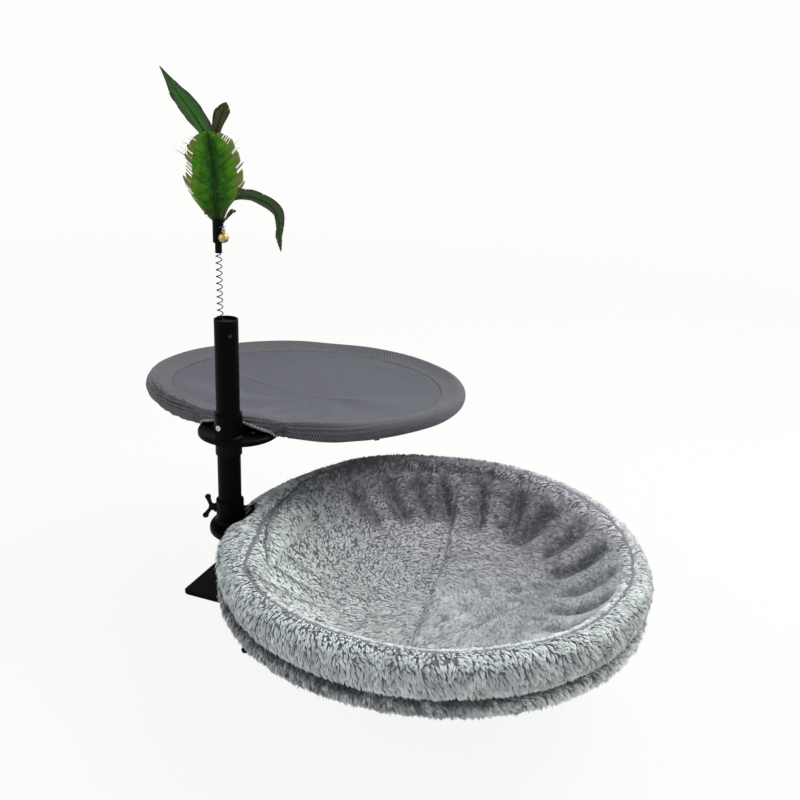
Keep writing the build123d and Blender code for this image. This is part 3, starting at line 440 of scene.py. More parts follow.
# %% Air mesh material
HOLE_ACROSS = 3.2
HOLE_ALONG = 4.6


def knitted_air_mesh(name, yarn, hole, hole_size, turn_deg):
    material = new_material(name)
    cloth = add(material, "UVMap", uv_map="cloth_mm").outputs[0]
    diagonal = {"Vector": cloth, "Angle": math.radians(turn_deg)}
    turned = add(material, "VectorRotate", diagonal, rotation_type="Z_AXIS").outputs[0]
    per_mm = (1 / HOLE_ACROSS, 1 / HOLE_ALONG, 1.0)
    cells = add(material, "VectorMath", {0: turned, 1: per_mm}, operation="MULTIPLY").outputs[0]
    shifted = add(material, "VectorMath", {0: cells, 1: (0.5, 0.5, 0.0)}, operation="ADD").outputs[0]
    from_hole = []
    for grid in (cells, shifted):
        holes = {"Vector": grid, "Scale": 1.0, "Randomness": 0.0}
        from_hole.append(add(material, "TexVoronoi", holes, voronoi_dimensions="2D").outputs["Distance"])
    nearest = sum_up(material, "MINIMUM", *from_hole)
    solid = spread(material, nearest, hole_size - 0.06, hole_size + 0.06, kind="SMOOTHSTEP")
    uneven = add(material, "TexNoise", {"Vector": cloth, "Scale": 1 / 28.0, "Detail": 4.0, "Roughness": 0.6})
    worn = spread(material, uneven.outputs["Fac"], 0.0, 1.0, 0.0, 0.35)
    tinted = two_colours(material, worn, yarn, "#4e5058")
    yarn_dome = sum_up(material, "MINIMUM", nearest, 0.75)
    bump = add(material, "Bump", {"Height": yarn_dome, "Strength": 0.8, "Distance": 1.0 * MM})
    return finish_material(
        material,
        {
            "Base Color": two_colours(material, solid, hole, tinted),
            "Roughness": 0.72,
            "IOR": 1.45,
            "Sheen Weight": 0.18,
            "Sheen Roughness": 0.4,
            "Sheen Tint": linear("#c9cdda"),
            "Normal": bump.outputs[0],
        },
    )


panel_mesh = knitted_air_mesh("air_mesh_panel", "#55565e", "#2b2c30", 0.24, 32.0)
sleeve_mesh = knitted_air_mesh("air_mesh_sleeve", "#77787c", "#1c1c1e", 0.3, 0.0)
print("air mesh holes", HOLE_ACROSS, "by", HOLE_ALONG, "mm")

# %% [markdown]
# ## Where the sling lies on its bracket
# The cloth is pulled over the bracket: it covers the tube, the two clips and the flange, and
# is open below, where the post comes through. Seen from the flange's centre the shape that
# it lies on is a low cone. One profile gives the height of that cone at each distance, and
# wherever the cloth would hang lower, it is lifted onto it.

# %% The lifting cone
CONE_OUT = [0.0, 35.0, 50.4, 53.5, 95.0, 130.0]
CONE_UP = [3.8, 3.8, 0.8, -2.6, -19.0, -32.0]
DROOP_COS = math.cos(math.radians(SLING_DROOP))
DROOP_SIN = math.sin(math.radians(SLING_DROOP))


def in_bracket(points):
    """From the sling's own centre to its bracket's frame, in mm."""
    x = points[..., 0] + SLING_R
    z = points[..., 2]
    out = x * DROOP_COS + z * DROOP_SIN + RING_NEAR
    up = z * DROOP_COS - x * DROOP_SIN + SLING_RISE
    return np.stack([out, points[..., 1], up], -1)


def cone_height(x, y):
    """The cone's height over (x, y), both in the sling's own frame."""
    flat = in_bracket(np.stack(np.broadcast_arrays(x, y, 0.0), -1))
    from_flange = np.hypot(flat[..., 0] - FLANGE_OUT, flat[..., 1])
    up = np.interp(from_flange, CONE_OUT, CONE_UP)
    return (up - SLING_RISE + (x + SLING_R) * DROOP_SIN) / DROOP_COS


def softly_above(z, floor, blur):
    """The larger of two heights with a rounded change between them."""
    return (z + floor + np.sqrt((z - floor) ** 2 + blur**2)) / 2


print("cloth over the flange at", round(float(cone_height(-180.0, 0.0)), 2), "mm in the sling's frame")

# %% [markdown]
# ## The rim sleeve
# A strip of mesh is folded round the steel ring and sewn 26 mm further in. Seen in section
# it is a drop: flat towards the seam, round over the tube, and a little slack underneath,
# where the cloth hangs. Near the bracket the strip is bunched, so long wrinkles run along
# the tube, and it swells over the two clips. The section is swept once round the ring. Beside
# the post the strip is slit: there the section ends on the tube's outer side, where the
# photograph shows the bound edge.

# %% Rim sleeve
SEAM_IN = 26.0
SEAM_R = SLING_R - SEAM_IN
SLEEVE_R = 8.5
SLEEVE_AROUND, SLEEVE_STEPS = 480, 56
CLIP_TURN = math.degrees(24.0 / SLING_R)
# How far the strip reaches over the tube, in degrees of section, by its turn from the post
SLIT_TURN = [3.0, 6.0, 9.0, 12.0, 13.3, 14.3]
SLIT_DIP = [28.0, 15.0, -4.0, -24.0, -56.0, -90.0]
TOP_LEAN = 104.0
FLAT_SHARE = 0.25  # of the section's run, on each side of the tube
FRONT_AZ = -110.0  # the side of both rings that the photograph shows nearest
LEFT_BUNCH_AZ, RIGHT_BUNCH_AZ, PLEATS_AZ, SWELL_AZ = 150.0, -158.0, 137.0, 152.0


def section_at(share):
    """(outward, height) on the drop: share runs from the seam's top over the tube to its underside."""
    share = np.asarray(share, float)
    angle = np.radians(TOP_LEAN - 2 * TOP_LEAN * (share - FLAT_SHARE) / (1 - 2 * FLAT_SHARE))
    tube_part = np.stack([SLEEVE_R * np.cos(angle), SLEEVE_R * np.sin(angle)], -1)
    ends = np.radians([TOP_LEAN, -TOP_LEAN])
    first, last = SLEEVE_R * np.stack([np.cos(ends), np.sin(ends)], -1)
    t = np.clip(share / FLAT_SHARE, 0, 1)[..., None]
    top = np.array([-SEAM_IN, -2.4]) * (1 - t) + first * t - np.sin(np.pi * t) * [0.0, 1.3]
    t = np.clip((share - 1 + FLAT_SHARE) / FLAT_SHARE, 0, 1)[..., None]
    low = last * (1 - t) + np.array([-SEAM_IN, -5.6]) * t + np.sin(np.pi * t) * [0.0, 0.5]
    share = share[..., None]
    return np.where(share < FLAT_SHARE, top, np.where(share > 1 - FLAT_SHARE, low, tube_part))


def last_share(from_post):
    """Where the strip ends: at the slit beside the post, and at the seam everywhere else."""
    dip = np.interp(from_post, SLIT_TURN, SLIT_DIP)
    on_tube = FLAT_SHARE + (TOP_LEAN - dip) / (2 * TOP_LEAN) * (1 - 2 * FLAT_SHARE)
    return on_tube + (1 - on_tube) * ease(from_post, SLIT_TURN[-1], 17.5)


def sleeve_grid(around, steps):
    az = np.linspace(-180.0, 180.0, around, endpoint=False)[:, None]
    a = np.radians(az)
    from_post = np.abs(gap_of_angles(az, POST_AZ))
    share = np.linspace(0, 1, steps)[None, :] * last_share(from_post)
    section = section_at(share)
    near = ease(-from_post, -85.0, -20.0)
    left = bell_curve(gap_of_angles(az, LEFT_BUNCH_AZ), 26.0)
    right = bell_curve(gap_of_angles(az, RIGHT_BUNCH_AZ), 16.0)
    under = bell_curve(share - 0.68, 0.2)
    slack = (1.0 + 4.2 * ease(-np.abs(gap_of_angles(az, FRONT_AZ)), -95.0, -30.0)) * under
    slack = slack * ease(from_post, 14.0, 34.0) + 1.6 * near * bell_curve(share - 0.62, 0.16)
    along = a * SLING_R
    drift = 1.8 * wave(a, share * 30, 11)
    fold = 1.0 - 2.0 * np.abs(np.sin(share * 42.0 + along * 0.02 + drift))
    wrinkle = fold * (0.3 * near + 1.9 * left + 1.5 * right) + 0.6 * wave(a * 2, share * 90, 12)
    pleat = bell_curve(gap_of_angles(az, PLEATS_AZ), 13.0) * ease(-share, -0.5, -0.2)
    wrinkle = wrinkle + 2.0 * pleat * np.sin(along * 0.36 + share * 13 + wave(a * 3, share * 20, 13))
    grip = ease(share, 0.0, 0.08) * ease(1 - share, 0.0, 0.08)
    over_clip = 1.5 * (bell_curve(from_post - CLIP_TURN, 2.2) ** 0.5) * ease(share, 0.1, 0.3)
    away = section / np.linalg.norm(section, axis=-1, keepdims=True)
    push = wrinkle * grip + over_clip
    r = SLING_R + section[..., 0] + push * away[..., 0]
    z = section[..., 1] + push * away[..., 1] - slack
    z = z + 3.0 * bell_curve(gap_of_angles(az, SWELL_AZ), 15.0) * bell_curve(share - 0.2, 0.08)
    z = z + 0.7 * wave(a, 0.0, 14)
    x, y = r * np.cos(a), r * np.sin(a)
    top = ease(-share, -0.42, -0.3)
    z = z * (1 - top) + top * softly_above(z, cone_height(x, y) + 1.4, 1.5)
    return np.stack([x, y, z], -1), np.stack(np.broadcast_arrays(along, share * 97.0), -1)


sleeve_points, sleeve_uv = sleeve_grid(SLEEVE_AROUND, SLEEVE_STEPS)
sling_sleeve = new_object(
    "sling_rim_sleeve",
    moved(sleeve_points, sling_place).reshape(-1, 3),
    grid_faces(SLEEVE_AROUND, SLEEVE_STEPS, close_rows=True),
    sleeve_mesh,
    sleeve_uv.reshape(-1, 2),
)
modifier(sling_sleeve, "SOLIDIFY", thickness=1.5 * MM, offset=-1.0)
apply_modifiers(sling_sleeve)

# %% [markdown]
# ## The sagging panel
# Inside the seam the mesh is one disc, held all round and sagging by two centimetres under
# its own stretch. Its shape is a shallow bowl. A light crease from packing crosses the middle,
# and short stress folds fan out from the hump where the cloth lies on the flange.

# %% Panel
SAG = 20.0
PANEL_DROP = 3.6
PANEL_R = SEAM_R + 1.2
PANEL_AROUND, PANEL_RINGS = 300, 90
FLANGE_X = FLANGE_OUT - RING_NEAR - SLING_R


def crease_x(y):
    """The packing crease wanders a little across the panel."""
    return np.interp(y, [-90.0, -24.0, 16.0, 75.0, 120.0], [9.0, 0.0, 4.0, 20.0, 26.0])


def panel_height(x, y):
    r = np.hypot(x, y)
    az = np.degrees(np.arctan2(y, x))
    z = -PANEL_DROP - SAG * (1 - np.minimum(1, r / SEAM_R) ** 2.2)
    crease = 2.2 * bell_curve(x - crease_x(y), 5.5) * ease(y, -95, -60) * ease(-y, -130, -100)
    across = np.hypot(x - FLANGE_X, y)
    fan = np.arctan2(y, x - FLANGE_X)
    folds = np.sin(fan * 15 + 1.2 * np.sin(across * 0.03)) * bell_curve(across - 70, 50) * 2.4
    near_rim = ease(-r, -SEAM_R, 24 - SEAM_R)
    slow = 1.8 * wave(np.radians(az), r * 0.6, 21) * near_rim * ease(r, 0, 90)
    z = z + crease + folds * near_rim + slow
    return softly_above(z, cone_height(x, y) + 1.2, 3.0)


def panel_grid(around, rings):
    a = np.linspace(-np.pi, np.pi, around, endpoint=False)[None, :]
    r = (np.linspace(0.02, 1, rings) ** 0.8)[:, None] * PANEL_R
    x, y = r * np.cos(a), r * np.sin(a)
    return np.stack([x, y, panel_height(x, y)], -1)


panel_mm = panel_grid(PANEL_AROUND, PANEL_RINGS).reshape(-1, 3)
panel_centre = np.array([[0.0, 0.0, float(panel_height(0.0, 0.0))]])
panel_all = np.concatenate([panel_mm, panel_centre])
panel_faces = grid_faces(PANEL_RINGS, PANEL_AROUND, close_columns=True)[:, ::-1].tolist()
panel_faces += [[len(panel_mm), k, (k + 1) % PANEL_AROUND] for k in range(PANEL_AROUND)]
panel_placed = moved(panel_all, sling_place)
sling_panel = new_object("sling_panel", panel_placed, panel_faces, panel_mesh, panel_all[:, :2])
modifier(sling_panel, "SOLIDIFY", thickness=1.8 * MM, offset=0.0)
apply_modifiers(sling_panel)

# %% [markdown]
# ## Room for the hub
# Behind the post the strip would run through the hub. An upright cylinder is taken away from
# it with a Boolean. The Manifold solver is quick and keeps thin cloth whole.


# %% Cut round the hub
def upright(name, radius, centre_x, z_low, z_high, place):
    """A closed upright cylinder in a bracket's own frame, in mm."""
    sides = 72
    angle = np.arange(sides) * 2 * np.pi / sides
    ring = np.stack([centre_x + radius * np.cos(angle), radius * np.sin(angle)], 1)
    low = np.concatenate([ring, np.full((sides, 1), z_low)], 1)
    high = np.concatenate([ring, np.full((sides, 1), z_high)], 1)
    faces = [[k, (k + 1) % sides, sides + (k + 1) % sides, sides + k] for k in range(sides)]
    faces += [list(range(sides))[::-1], list(range(sides, 2 * sides))]
    return new_object(name, moved(np.concatenate([low, high]), np.array(place)), faces, panel_mesh)


def take_away(piece, shapes):
    for shape in shapes:
        modifier(piece, "BOOLEAN", object=shape, operation="DIFFERENCE", solver="MANIFOLD")
    apply_modifiers(piece)


HUB_ROOM_R = 18.3
hub_room = upright("hub_room", HUB_ROOM_R, 0.0, -80.0, 80.0, sling_arm)
take_away(sling_sleeve, [hub_room])
bpy.data.objects.remove(hub_room)
carried(sling_sleeve, "upper_hammock", "grey_mesh", "mesh_rim_sleeve")
carried(sling_panel, "upper_hammock", "grey_mesh", "mesh_panel")

# %% [markdown]
# ## Tubes along a path
# Hems, bindings, stitches, quills and springs are all round sections that follow a line.
# A curve with a bevel would do it, but a mesh tube can swell and twist at each point and
# needs no conversion later. Each section is set square to the path.


# %% Tube maker
def tube(path, radii, sides=8):
    """Vertices, faces and (along, round) in mm for a tube with flat ends."""
    path = np.asarray(path, float)
    n = len(path)
    radii = np.broadcast_to(radii, (n,))
    along = np.gradient(path, axis=0)
    along = along / np.linalg.norm(along, axis=1, keepdims=True)
    side = np.cross(along, [0.0, 0.0, 1.0])
    weak = np.linalg.norm(side, axis=1) < 0.2
    side[weak] = np.cross(along[weak], [1.0, 0.0, 0.0])
    side = side / np.linalg.norm(side, axis=1, keepdims=True)
    up = np.cross(side, along)
    angle = np.arange(sides) * 2 * np.pi / sides
    ring = side[:, None] * np.cos(angle)[None, :, None] + up[:, None] * np.sin(angle)[None, :, None]
    vertices = (path[:, None] + ring * radii[:, None, None]).reshape(-1, 3)
    faces = grid_faces(n, sides, close_columns=True).tolist()
    faces += [list(range(sides))[::-1], list(range((n - 1) * sides, n * sides))]
    step = np.concatenate([[0], np.cumsum(np.linalg.norm(np.diff(path, axis=0), axis=1))])
    uv = np.stack([np.repeat(step, sides), np.tile(angle * float(radii.max()), n)], 1)
    return vertices, faces, uv


def joined(parts):
    """Several (vertices, faces, uv) as one."""
    vertices, faces, uvs, start = [], [], [], 0
    for v, f, uv in parts:
        vertices.append(v)
        uvs.append(uv)
        faces += [[i + start for i in face] for face in f]
        start += len(v)
    return np.concatenate(vertices), faces, np.concatenate(uvs)


print("a six-sided tube through 3 points has", len(tube(np.eye(3), 1.0, 6)[1]), "faces")

# %% [markdown]
# ## Seam, binding and tab
# The seam that joins panel and sleeve shows as a dark line with small stitches. The cut edge
# of the opening is bound with a soft ribbed tape, a lighter grey than the mesh: it runs
# behind the hub, along the tube's outer side, and down under it at the flange's edge. A
# short loop of mesh hangs below the front of the rim.

# %% Binding tape material


def woven_tape(name, light, dark, rib_mm):
    material = new_material(name)
    cloth = add(material, "UVMap", uv_map="cloth_mm").outputs[0]
    ribs = add(
        material,
        "TexWave",
        {"Vector": cloth, "Scale": 0.314 / rib_mm, "Distortion": 1.5, "Detail": 1.0, "Detail Scale": 0.6},
        bands_direction="DIAGONAL",
    )
    fuzz = add(material, "TexNoise", {"Vector": cloth, "Scale": 0.9, "Detail": 3.0})
    colour = two_colours(material, ribs.outputs["Fac"], dark, light)
    height = sum_up(material, "ADD", ribs.outputs["Fac"], fuzz.outputs["Fac"])
    bump = add(material, "Bump", {"Height": height, "Strength": 0.7, "Distance": 0.6 * MM}).outputs[0]
    return finish_material(
        material, {"Base Color": colour, "Roughness": 0.85, "Sheen Weight": 0.2, "Normal": bump}
    )


binding_tape = woven_tape("ribbed_binding_tape", "#b4b5b7", "#3a3a3c", 2.2)
sewing_thread = woven_tape("black_sewing_thread", "#2c2c2f", "#0f0f10", 0.6)
print("tape and thread ready")

# %% Seam stitches, binding and tab
STITCH = 3.4  # from one stitch to the next
STITCH_HALF = 1.15


def seam_stitches():
    parts = []
    count = int(2 * math.pi * SEAM_R / STITCH)
    for az in np.linspace(-180, 180, count, endpoint=False):
        a = math.radians(az)
        half = STITCH_HALF / SEAM_R
        angles = np.array([a - half, a - half * 0.4, a + half * 0.4, a + half])
        x, y = (SEAM_R + 1.6) * np.cos(angles), (SEAM_R + 1.6) * np.sin(angles)
        z = softly_above(np.full(4, -2.2), cone_height(x, y) + 1.6, 1.5)
        path = np.stack([x, y, z + [-0.8, 0.3, 0.3, -0.8]], 1)
        parts.append(tube(path, 0.42, 5))
    return joined(parts)


v, f, uv = seam_stitches()
stitches = new_object("sling_seam_stitches", moved(v, sling_place), f, sewing_thread, uv)
carried(stitches, "upper_hammock", "grey_mesh")


def half_slit(sign):
    """From the hub along the tube's outer side, then down and under it to the seam."""
    turn = np.concatenate([np.linspace(3.2, SLIT_TURN[-1], 26), np.linspace(14.8, 17.3, 8)])
    edge = section_at(last_share(turn))
    edge = edge * (1 + 0.6 / np.linalg.norm(edge, axis=1, keepdims=True))
    a = np.radians(POST_AZ - turn) * sign
    r = SLING_R + edge[:, 0]
    over_clip = 1.2 * bell_curve(turn - CLIP_TURN, 2.2) ** 0.5
    return np.stack([(r + over_clip) * np.cos(a), (r + over_clip) * np.sin(a), edge[:, 1]], 1)


BEHIND_HUB_R = 19.8


def binding_path():
    right, left = half_slit(-1), half_slit(1)
    hub = in_bracket(right[:1])[0]
    turn_from = math.atan2(hub[1], hub[0])
    arc = []
    for t in np.linspace(turn_from, -turn_from, 14)[1:-1]:
        across = [BEHIND_HUB_R * math.cos(t) - RING_NEAR - SLING_R, BEHIND_HUB_R * math.sin(t)]
        arc.append([*across, right[0][2]])
    return np.concatenate([right[::-1], np.array(arc), left])


edge_path = binding_path()
thick = 1.9 + 0.25 * np.sin(np.linspace(0, 60, len(edge_path)))
v, f, uv = tube(edge_path, thick)
binding = new_object("sling_arch_binding", moved(v, sling_place), f, binding_tape, uv)
carried(binding, "upper_hammock", "grey_mesh")

TAB_AZ = -133.0
TAB_ROWS, TAB_COLUMNS = 17, 7


def tab_loop():
    """A short folded loop of tape under the sleeve."""
    a = math.radians(TAB_AZ)
    t = np.linspace(0, 1, TAB_ROWS)
    drop = -SLEEVE_R - 9.5 * np.sin(np.pi * t) ** 0.7 + 1.5
    out = SLING_R + 2.2 * np.cos(np.pi * t)
    columns = []
    for s in np.linspace(-6.0, 6.0, TAB_COLUMNS):
        pinch = s * (1.0 - 0.45 * np.sin(np.pi * t))
        x = out * math.cos(a) - pinch * math.sin(a)
        y = out * math.sin(a) + pinch * math.cos(a)
        columns.append(np.stack([x, y, drop + 0.35 * math.sin(s)], 1))
    uv = np.stack(np.meshgrid(t * 24, np.linspace(0, 12, TAB_COLUMNS), indexing="ij"), -1)
    return np.stack(columns, 1).reshape(-1, 3), uv.reshape(-1, 2)


tab_points, tab_uv = tab_loop()
tab_faces = grid_faces(TAB_ROWS, TAB_COLUMNS)
tab = new_object("sling_tab", moved(tab_points, sling_place), tab_faces, sleeve_mesh, tab_uv)
modifier(tab, "SOLIDIFY", thickness=1.2 * MM, offset=0.0)
modifier(tab, "SUBSURF", levels=1, render_levels=1)
apply_modifiers(tab)
carried(tab, "upper_hammock", "grey_mesh", "mesh_tab")

# %% [markdown]
# The panel is a disc of 38 cm. The sleeve is a strip as long as the ring, less the opening
# at the bracket, and as wide as its section is long: it is cut a little wider and shorter
# than that, since it is pulled tight along the tube.

# %% [markdown]
# ## The plush bed's three cushions
# The lower ring runs inside a thick padded roll. A second, thinner band is sewn under it,
# and between them hangs the bowl that the cat lies in. Each is a closed cushion. Where one
# sinks into the next, a real seam's groove appears by itself.
# The roll is an oval section that widens towards the post, where the cover has to reach
# over the bracket's round flange.

# %% Roll, band and bowl
ROLL_TOP, ROLL_LOW, ROLL_MIDDLE = 22.0, 27.0, -12.0
SEAM_ANGLES = [133, 118, 107, 97, 82, 66, 52, 35, 19, 3, -12, -28, -46]
SEAM_DEPTHS = [5.5, 6.5, 5.0, 7.5, 6.0, 7.0, 6.5, 5.0, 7.0, 4.5, 5.5, 4.0, 3.0]


def lumps(az_deg, v, seed, size):
    return size * wave(np.radians(az_deg), v * 22.0, seed, 7)


def roll_point(az_deg, t):
    """t goes once round the section, 0 at the outside, a quarter at the crest."""
    a = np.radians(az_deg)
    away = np.abs(gap_of_angles(az_deg, POST_AZ))
    left = ease(gap_of_angles(az_deg, 152.0), -30, 10) * ease(-gap_of_angles(az_deg, -170.0), -20, 8)
    wide = 38.0 * ease(-away, -40, -12)
    reach = np.maximum(wide, 20.0 * left)
    inner = 18.5 + reach / 2
    angle = 2 * np.pi * t
    centre_r = BED_R + 0.5 - reach / 2
    swell = 1.0 + 0.035 * wave(a, t * 60, 31, 7)
    pucker = 0.0
    for k, seam in enumerate(SEAM_ANGLES):
        pucker = pucker + 0.16 * SEAM_DEPTHS[k] * bell_curve(gap_of_angles(az_deg, seam), 3.0)
    inside = ease(-np.cos(angle), 0.2, 0.9)
    half_w = inner * swell
    half_h = np.where(np.sin(angle) > 0, ROLL_TOP, ROLL_LOW) * swell
    r = centre_r + half_w * np.cos(angle) + pucker * inside
    z = ROLL_MIDDLE + half_h * np.sin(angle) + lumps(az_deg, t * 3, 32, 1.4)
    fold = bell_curve(r - (207.0 + 5 * np.sin(a * 3)), 3.0)
    fold = fold * ease(-away, -46, -24) * ease(np.sin(angle), 0.1, 0.5)
    z = z - 4.5 * fold
    return np.stack([r * np.cos(a), r * np.sin(a), z], -1)


def band_point(az_deg, t):
    a = np.radians(az_deg)
    angle = 2 * np.pi * t
    swell = 1.0 + 0.06 * wave(a, t * 60, 33, 7)
    r = BED_R - 1.0 + 18.5 * swell * np.cos(angle)
    z = -46.0 + 12.5 * swell * np.sin(angle) + lumps(az_deg, t * 3, 34, 1.5)
    return np.stack([r * np.cos(a), r * np.sin(a), z], -1)


# (radius, height) of the bowl: from the middle of the floor up the wall, and back below it
BOWL_TOP = np.array(
    [(0, -63.5), (60, -62.5), (118, -58), (150, -52), (176, -41), (198, -25), (213, -10), (226, 2)], float
)
BOWL_LOW = np.array([(228, -34), (205, -50), (170, -66), (120, -75), (60, -79), (0, -80)], float)


def through(points, at):
    """Catmull-Rom through points; at counts from the first point."""
    n = len(points) - 1
    i = np.clip(np.floor(at).astype(int), 0, n - 1)
    f = (at - i)[..., None]
    a, b, c, d = [points[np.clip(i + k, 0, n)] for k in (-1, 0, 1, 2)]
    return b + f * ((c - a) + f * ((2 * a - 5 * b + 4 * c - d) + f * (3 * (b - c) + d - a))) / 2


def wall_share(r):
    """1 on the bowl's wall, 0 on its floor and at its upper edge."""
    return ease(r, 138, 176) * ease(-r, -226, -205)


def pleats(az_deg, r):
    """How far the gathers of the wall are drawn down, in mm."""
    wall = wall_share(r)
    drop = 0.0
    for k, seam in enumerate(SEAM_ANGLES):
        bend = seam + 5.0 * ease(r, 215, 150) * (-1 if seam > 60 else 0.4)
        drop = drop + SEAM_DEPTHS[k] * bell_curve(gap_of_angles(az_deg, bend), 2.2 + 1.2 * wall)
    return drop * wall


def bowl_top(az_deg, s):
    """s is 0 in the middle of the floor and 1 at the top of the wall."""
    a = np.radians(az_deg)
    rz = through(BOWL_TOP, s * (len(BOWL_TOP) - 1))
    r, z = rz[..., 0], rz[..., 1]
    wall = wall_share(r)
    z = z - 1.4 * pleats(az_deg, r) + 3.2 * wall * (1 + wave(a, r * 1.5, 41, 6)) * 0.7
    x, y = r * np.cos(a), r * np.sin(a)
    middle = bell_curve(x - 3.0 * np.sin(y / 40), 3.4) * ease(-np.abs(y), -212, -190)
    along = (x - 18.0) * 0.71 + (y + 113.0) * 0.71
    across = -(x - 18.0) * 0.71 + (y + 113.0) * 0.71
    second = bell_curve(across - along * 0.05, 4.0) * ease(along, -2, 12) * ease(-along, -165, -120)
    z = z - 2.6 * middle - 2.4 * second
    z = z + 1.7 * wave(a, r, 42, 6) * ease(r, 0, 60) * ease(-r, -180, -120)
    near_post = ease(-np.abs(gap_of_angles(az_deg, 178.0)), -62, -20) * ease(r, 120, 190)
    z = z + 6.0 * near_post * (1 + 0.8 * np.sin(az_deg * 0.42 + r * 0.02))
    return np.stack([x, y, z], -1)


def bowl_low(az_deg, s):
    a = np.radians(az_deg)
    rz = through(BOWL_LOW, s * (len(BOWL_LOW) - 1))
    r, z = rz[..., 0], rz[..., 1] + 1.5 * wave(a, rz[..., 0], 43, 6) * ease(rz[..., 0], 0, 60)
    return np.stack([r * np.cos(a), r * np.sin(a), z], -1)


def swept_cushion(name, shape, around, steps, material):
    az = np.linspace(-180, 180, around, endpoint=False)[:, None]
    t = np.linspace(0, 1, steps, endpoint=False)[None, :]
    points = shape(np.broadcast_to(az, (around, steps)), np.broadcast_to(t, (around, steps)))
    uv = np.stack(np.broadcast_arrays(np.radians(az) * BED_R, t * 130.0), -1).reshape(-1, 2)
    faces = grid_faces(around, steps, True, True)[:, ::-1]
    return new_object(name, moved(points.reshape(-1, 3), bed_place), faces, material, uv)


def bowl_cushion(name, around, steps, material):
    az = np.linspace(-180, 180, around, endpoint=False)[None, :]
    top_s = np.linspace(0.03, 1, steps)[:, None]
    low_s = np.linspace(0, 0.985, steps // 2)[:, None]
    top = bowl_top(*np.broadcast_arrays(az, top_s))
    low = bowl_low(*np.broadcast_arrays(az, low_s))
    grid = np.concatenate([top, low])
    rows = len(grid)
    points = grid.reshape(-1, 3)
    tip_top = bowl_top(np.zeros(1), np.zeros(1))[0] * [0, 0, 1]
    tip_low = bowl_low(np.zeros(1), np.ones(1))[0] * [0, 0, 1]
    points = np.concatenate([points, [tip_top], [tip_low]])
    faces = grid_faces(rows, around, close_columns=True)[:, ::-1].tolist()
    n = rows * around
    faces += [[n, k, (k + 1) % around] for k in range(around)]
    base = (rows - 1) * around
    faces += [[n + 1, base + (k + 1) % around, base + k] for k in range(around)]
    return new_object(name, moved(points, bed_place), faces, material, points[:, :2])


crest = roll_point(np.zeros(1), np.full(1, 0.25))[0]
print("from the roll's crest to the bowl's floor:", round(float(crest[2] - BOWL_TOP[0][1])), "mm")

# %% [markdown]
# ## Plush: backing cloth and pile
# The cover is long-pile plush, a knit backing with soft fibres 6 to 10 mm long, dark at the
# root and pale at the tip. Seen from a step away, what shows is tufts: pale tips in clumps,
# with dark roots in the gaps between. Hair particles would show it, but they are lost when
# the model is exported. So each tuft is a small bent blade of real mesh. Its UV map says how
# far along the blade a point is, and how light or dark that tuft is: painted light and shade
# for its place on the cushion, with a random tone of its own. The colour follows both.

# %% Plush materials


def plush_backing():
    material = new_material("plush_backing_knit")
    place = add(material, "TexCoord").outputs["Object"]
    matted = {"Vector": place, "Scale": 1 / (7 * MM), "Detail": 5.0, "Roughness": 0.65}
    clumps = add(material, "TexNoise", matted).outputs["Fac"]
    colour = two_colours(material, clumps, "#4a4b4f", "#8e9294")
    bump = add(material, "Bump", {"Height": clumps, "Strength": 1.0, "Distance": 3 * MM}).outputs[0]
    return finish_material(
        material, {"Base Color": colour, "Roughness": 0.95, "Sheen Weight": 0.3, "Normal": bump}
    )


def plush_pile():
    material = new_material("long_pile_plush")
    tuft = add(material, "UVMap", uv_map="tuft").outputs[0]
    place = add(material, "TexCoord").outputs["Object"]
    from_front = add(material, "SeparateXYZ", {0: place}).outputs["Y"]
    parts = add(material, "SeparateXYZ", {0: tuft})
    # The tuft's lightness is painted light and shade with a random tone; tip and root follow it.
    shade = parts.outputs["Y"]
    # Painted shade: the pale tip turns mauve towards the back, where the pile lies in shade.
    painted_shade_tint = two_colours(material, spread(material, from_front, 0.02, 0.22), "#eef5f2", "#efe9ef")
    tip = two_colours(material, shade, "#57585d", painted_shade_tint)
    root = two_colours(material, shade, "#26262a", "#b4b8ba")
    up_blade = spread(material, parts.outputs["X"], 0.05, 0.7, kind="SMOOTHSTEP")
    return finish_material(
        material,
        {
            "Base Color": two_colours(material, up_blade, root, tip),
            "Roughness": 0.75,
            "IOR": 1.45,
            "Specular IOR Level": 0.3,
            "Sheen Weight": 0.2,
            "Sheen Roughness": 0.5,
        },
    )


backing = plush_backing()
pile = plush_pile()
print("plush ready")

# %% Make the cushions
around = 420
plush_roll = swept_cushion("plush_roll", roll_point, around, 60, backing)
plush_band = swept_cushion("plush_band", band_point, around, 36, backing)
plush_bowl = bowl_cushion("plush_bowl", around, 80, backing)

# %% [markdown]
# ## Room for the bracket
# The cover is slit round the post and the flange. The cushions are cut with three plain
# shapes: a tall cylinder for the post and hub, a flat one for the flange, and a small one
# over both clips. A Boolean modifier does what the scissors did.

# %% Cut the slit
# name, radius, centre out from the post, bottom and top
BRACKET_ROOM = [
    ("post_room", 30.5, 0.0, -120.0, 120.0),
    ("flange_room", 51.4, FLANGE_OUT, -6.9, 0.9),
    ("clip_room", 26.0, RING_NEAR, -4.0, 13.4),
]
cutters = [upright(*room, bed_arm) for room in BRACKET_ROOM]
for cushion in (plush_roll, plush_band, plush_bowl):
    take_away(cushion, cutters)
for shape in cutters:
    bpy.data.objects.remove(shape)
carried(plush_roll, "lower_hammock", "grey_plush", "bed_rim_roll")
carried(plush_band, "lower_hammock", "grey_plush", "bed_under_band")
carried(plush_bowl, "lower_hammock", "grey_plush", "bed_dish")

# %% [markdown]
# ## Planting the pile
# Roots are scattered evenly over each cushion, and each belongs to a lock of some 55 tufts
# and in it to a wisp of some 8: those round the nearest of many random points. Tufts of a
# wisp lean the same way and draw together at their tips, as brushed plush does. The comb
# runs down both sides of the roll, and round and inward over the bowl.
# A blade is flat, so lit as it is it would glitter. Each takes its normals from the skin
# under it instead, and the light falls on the pile as on one soft surface.


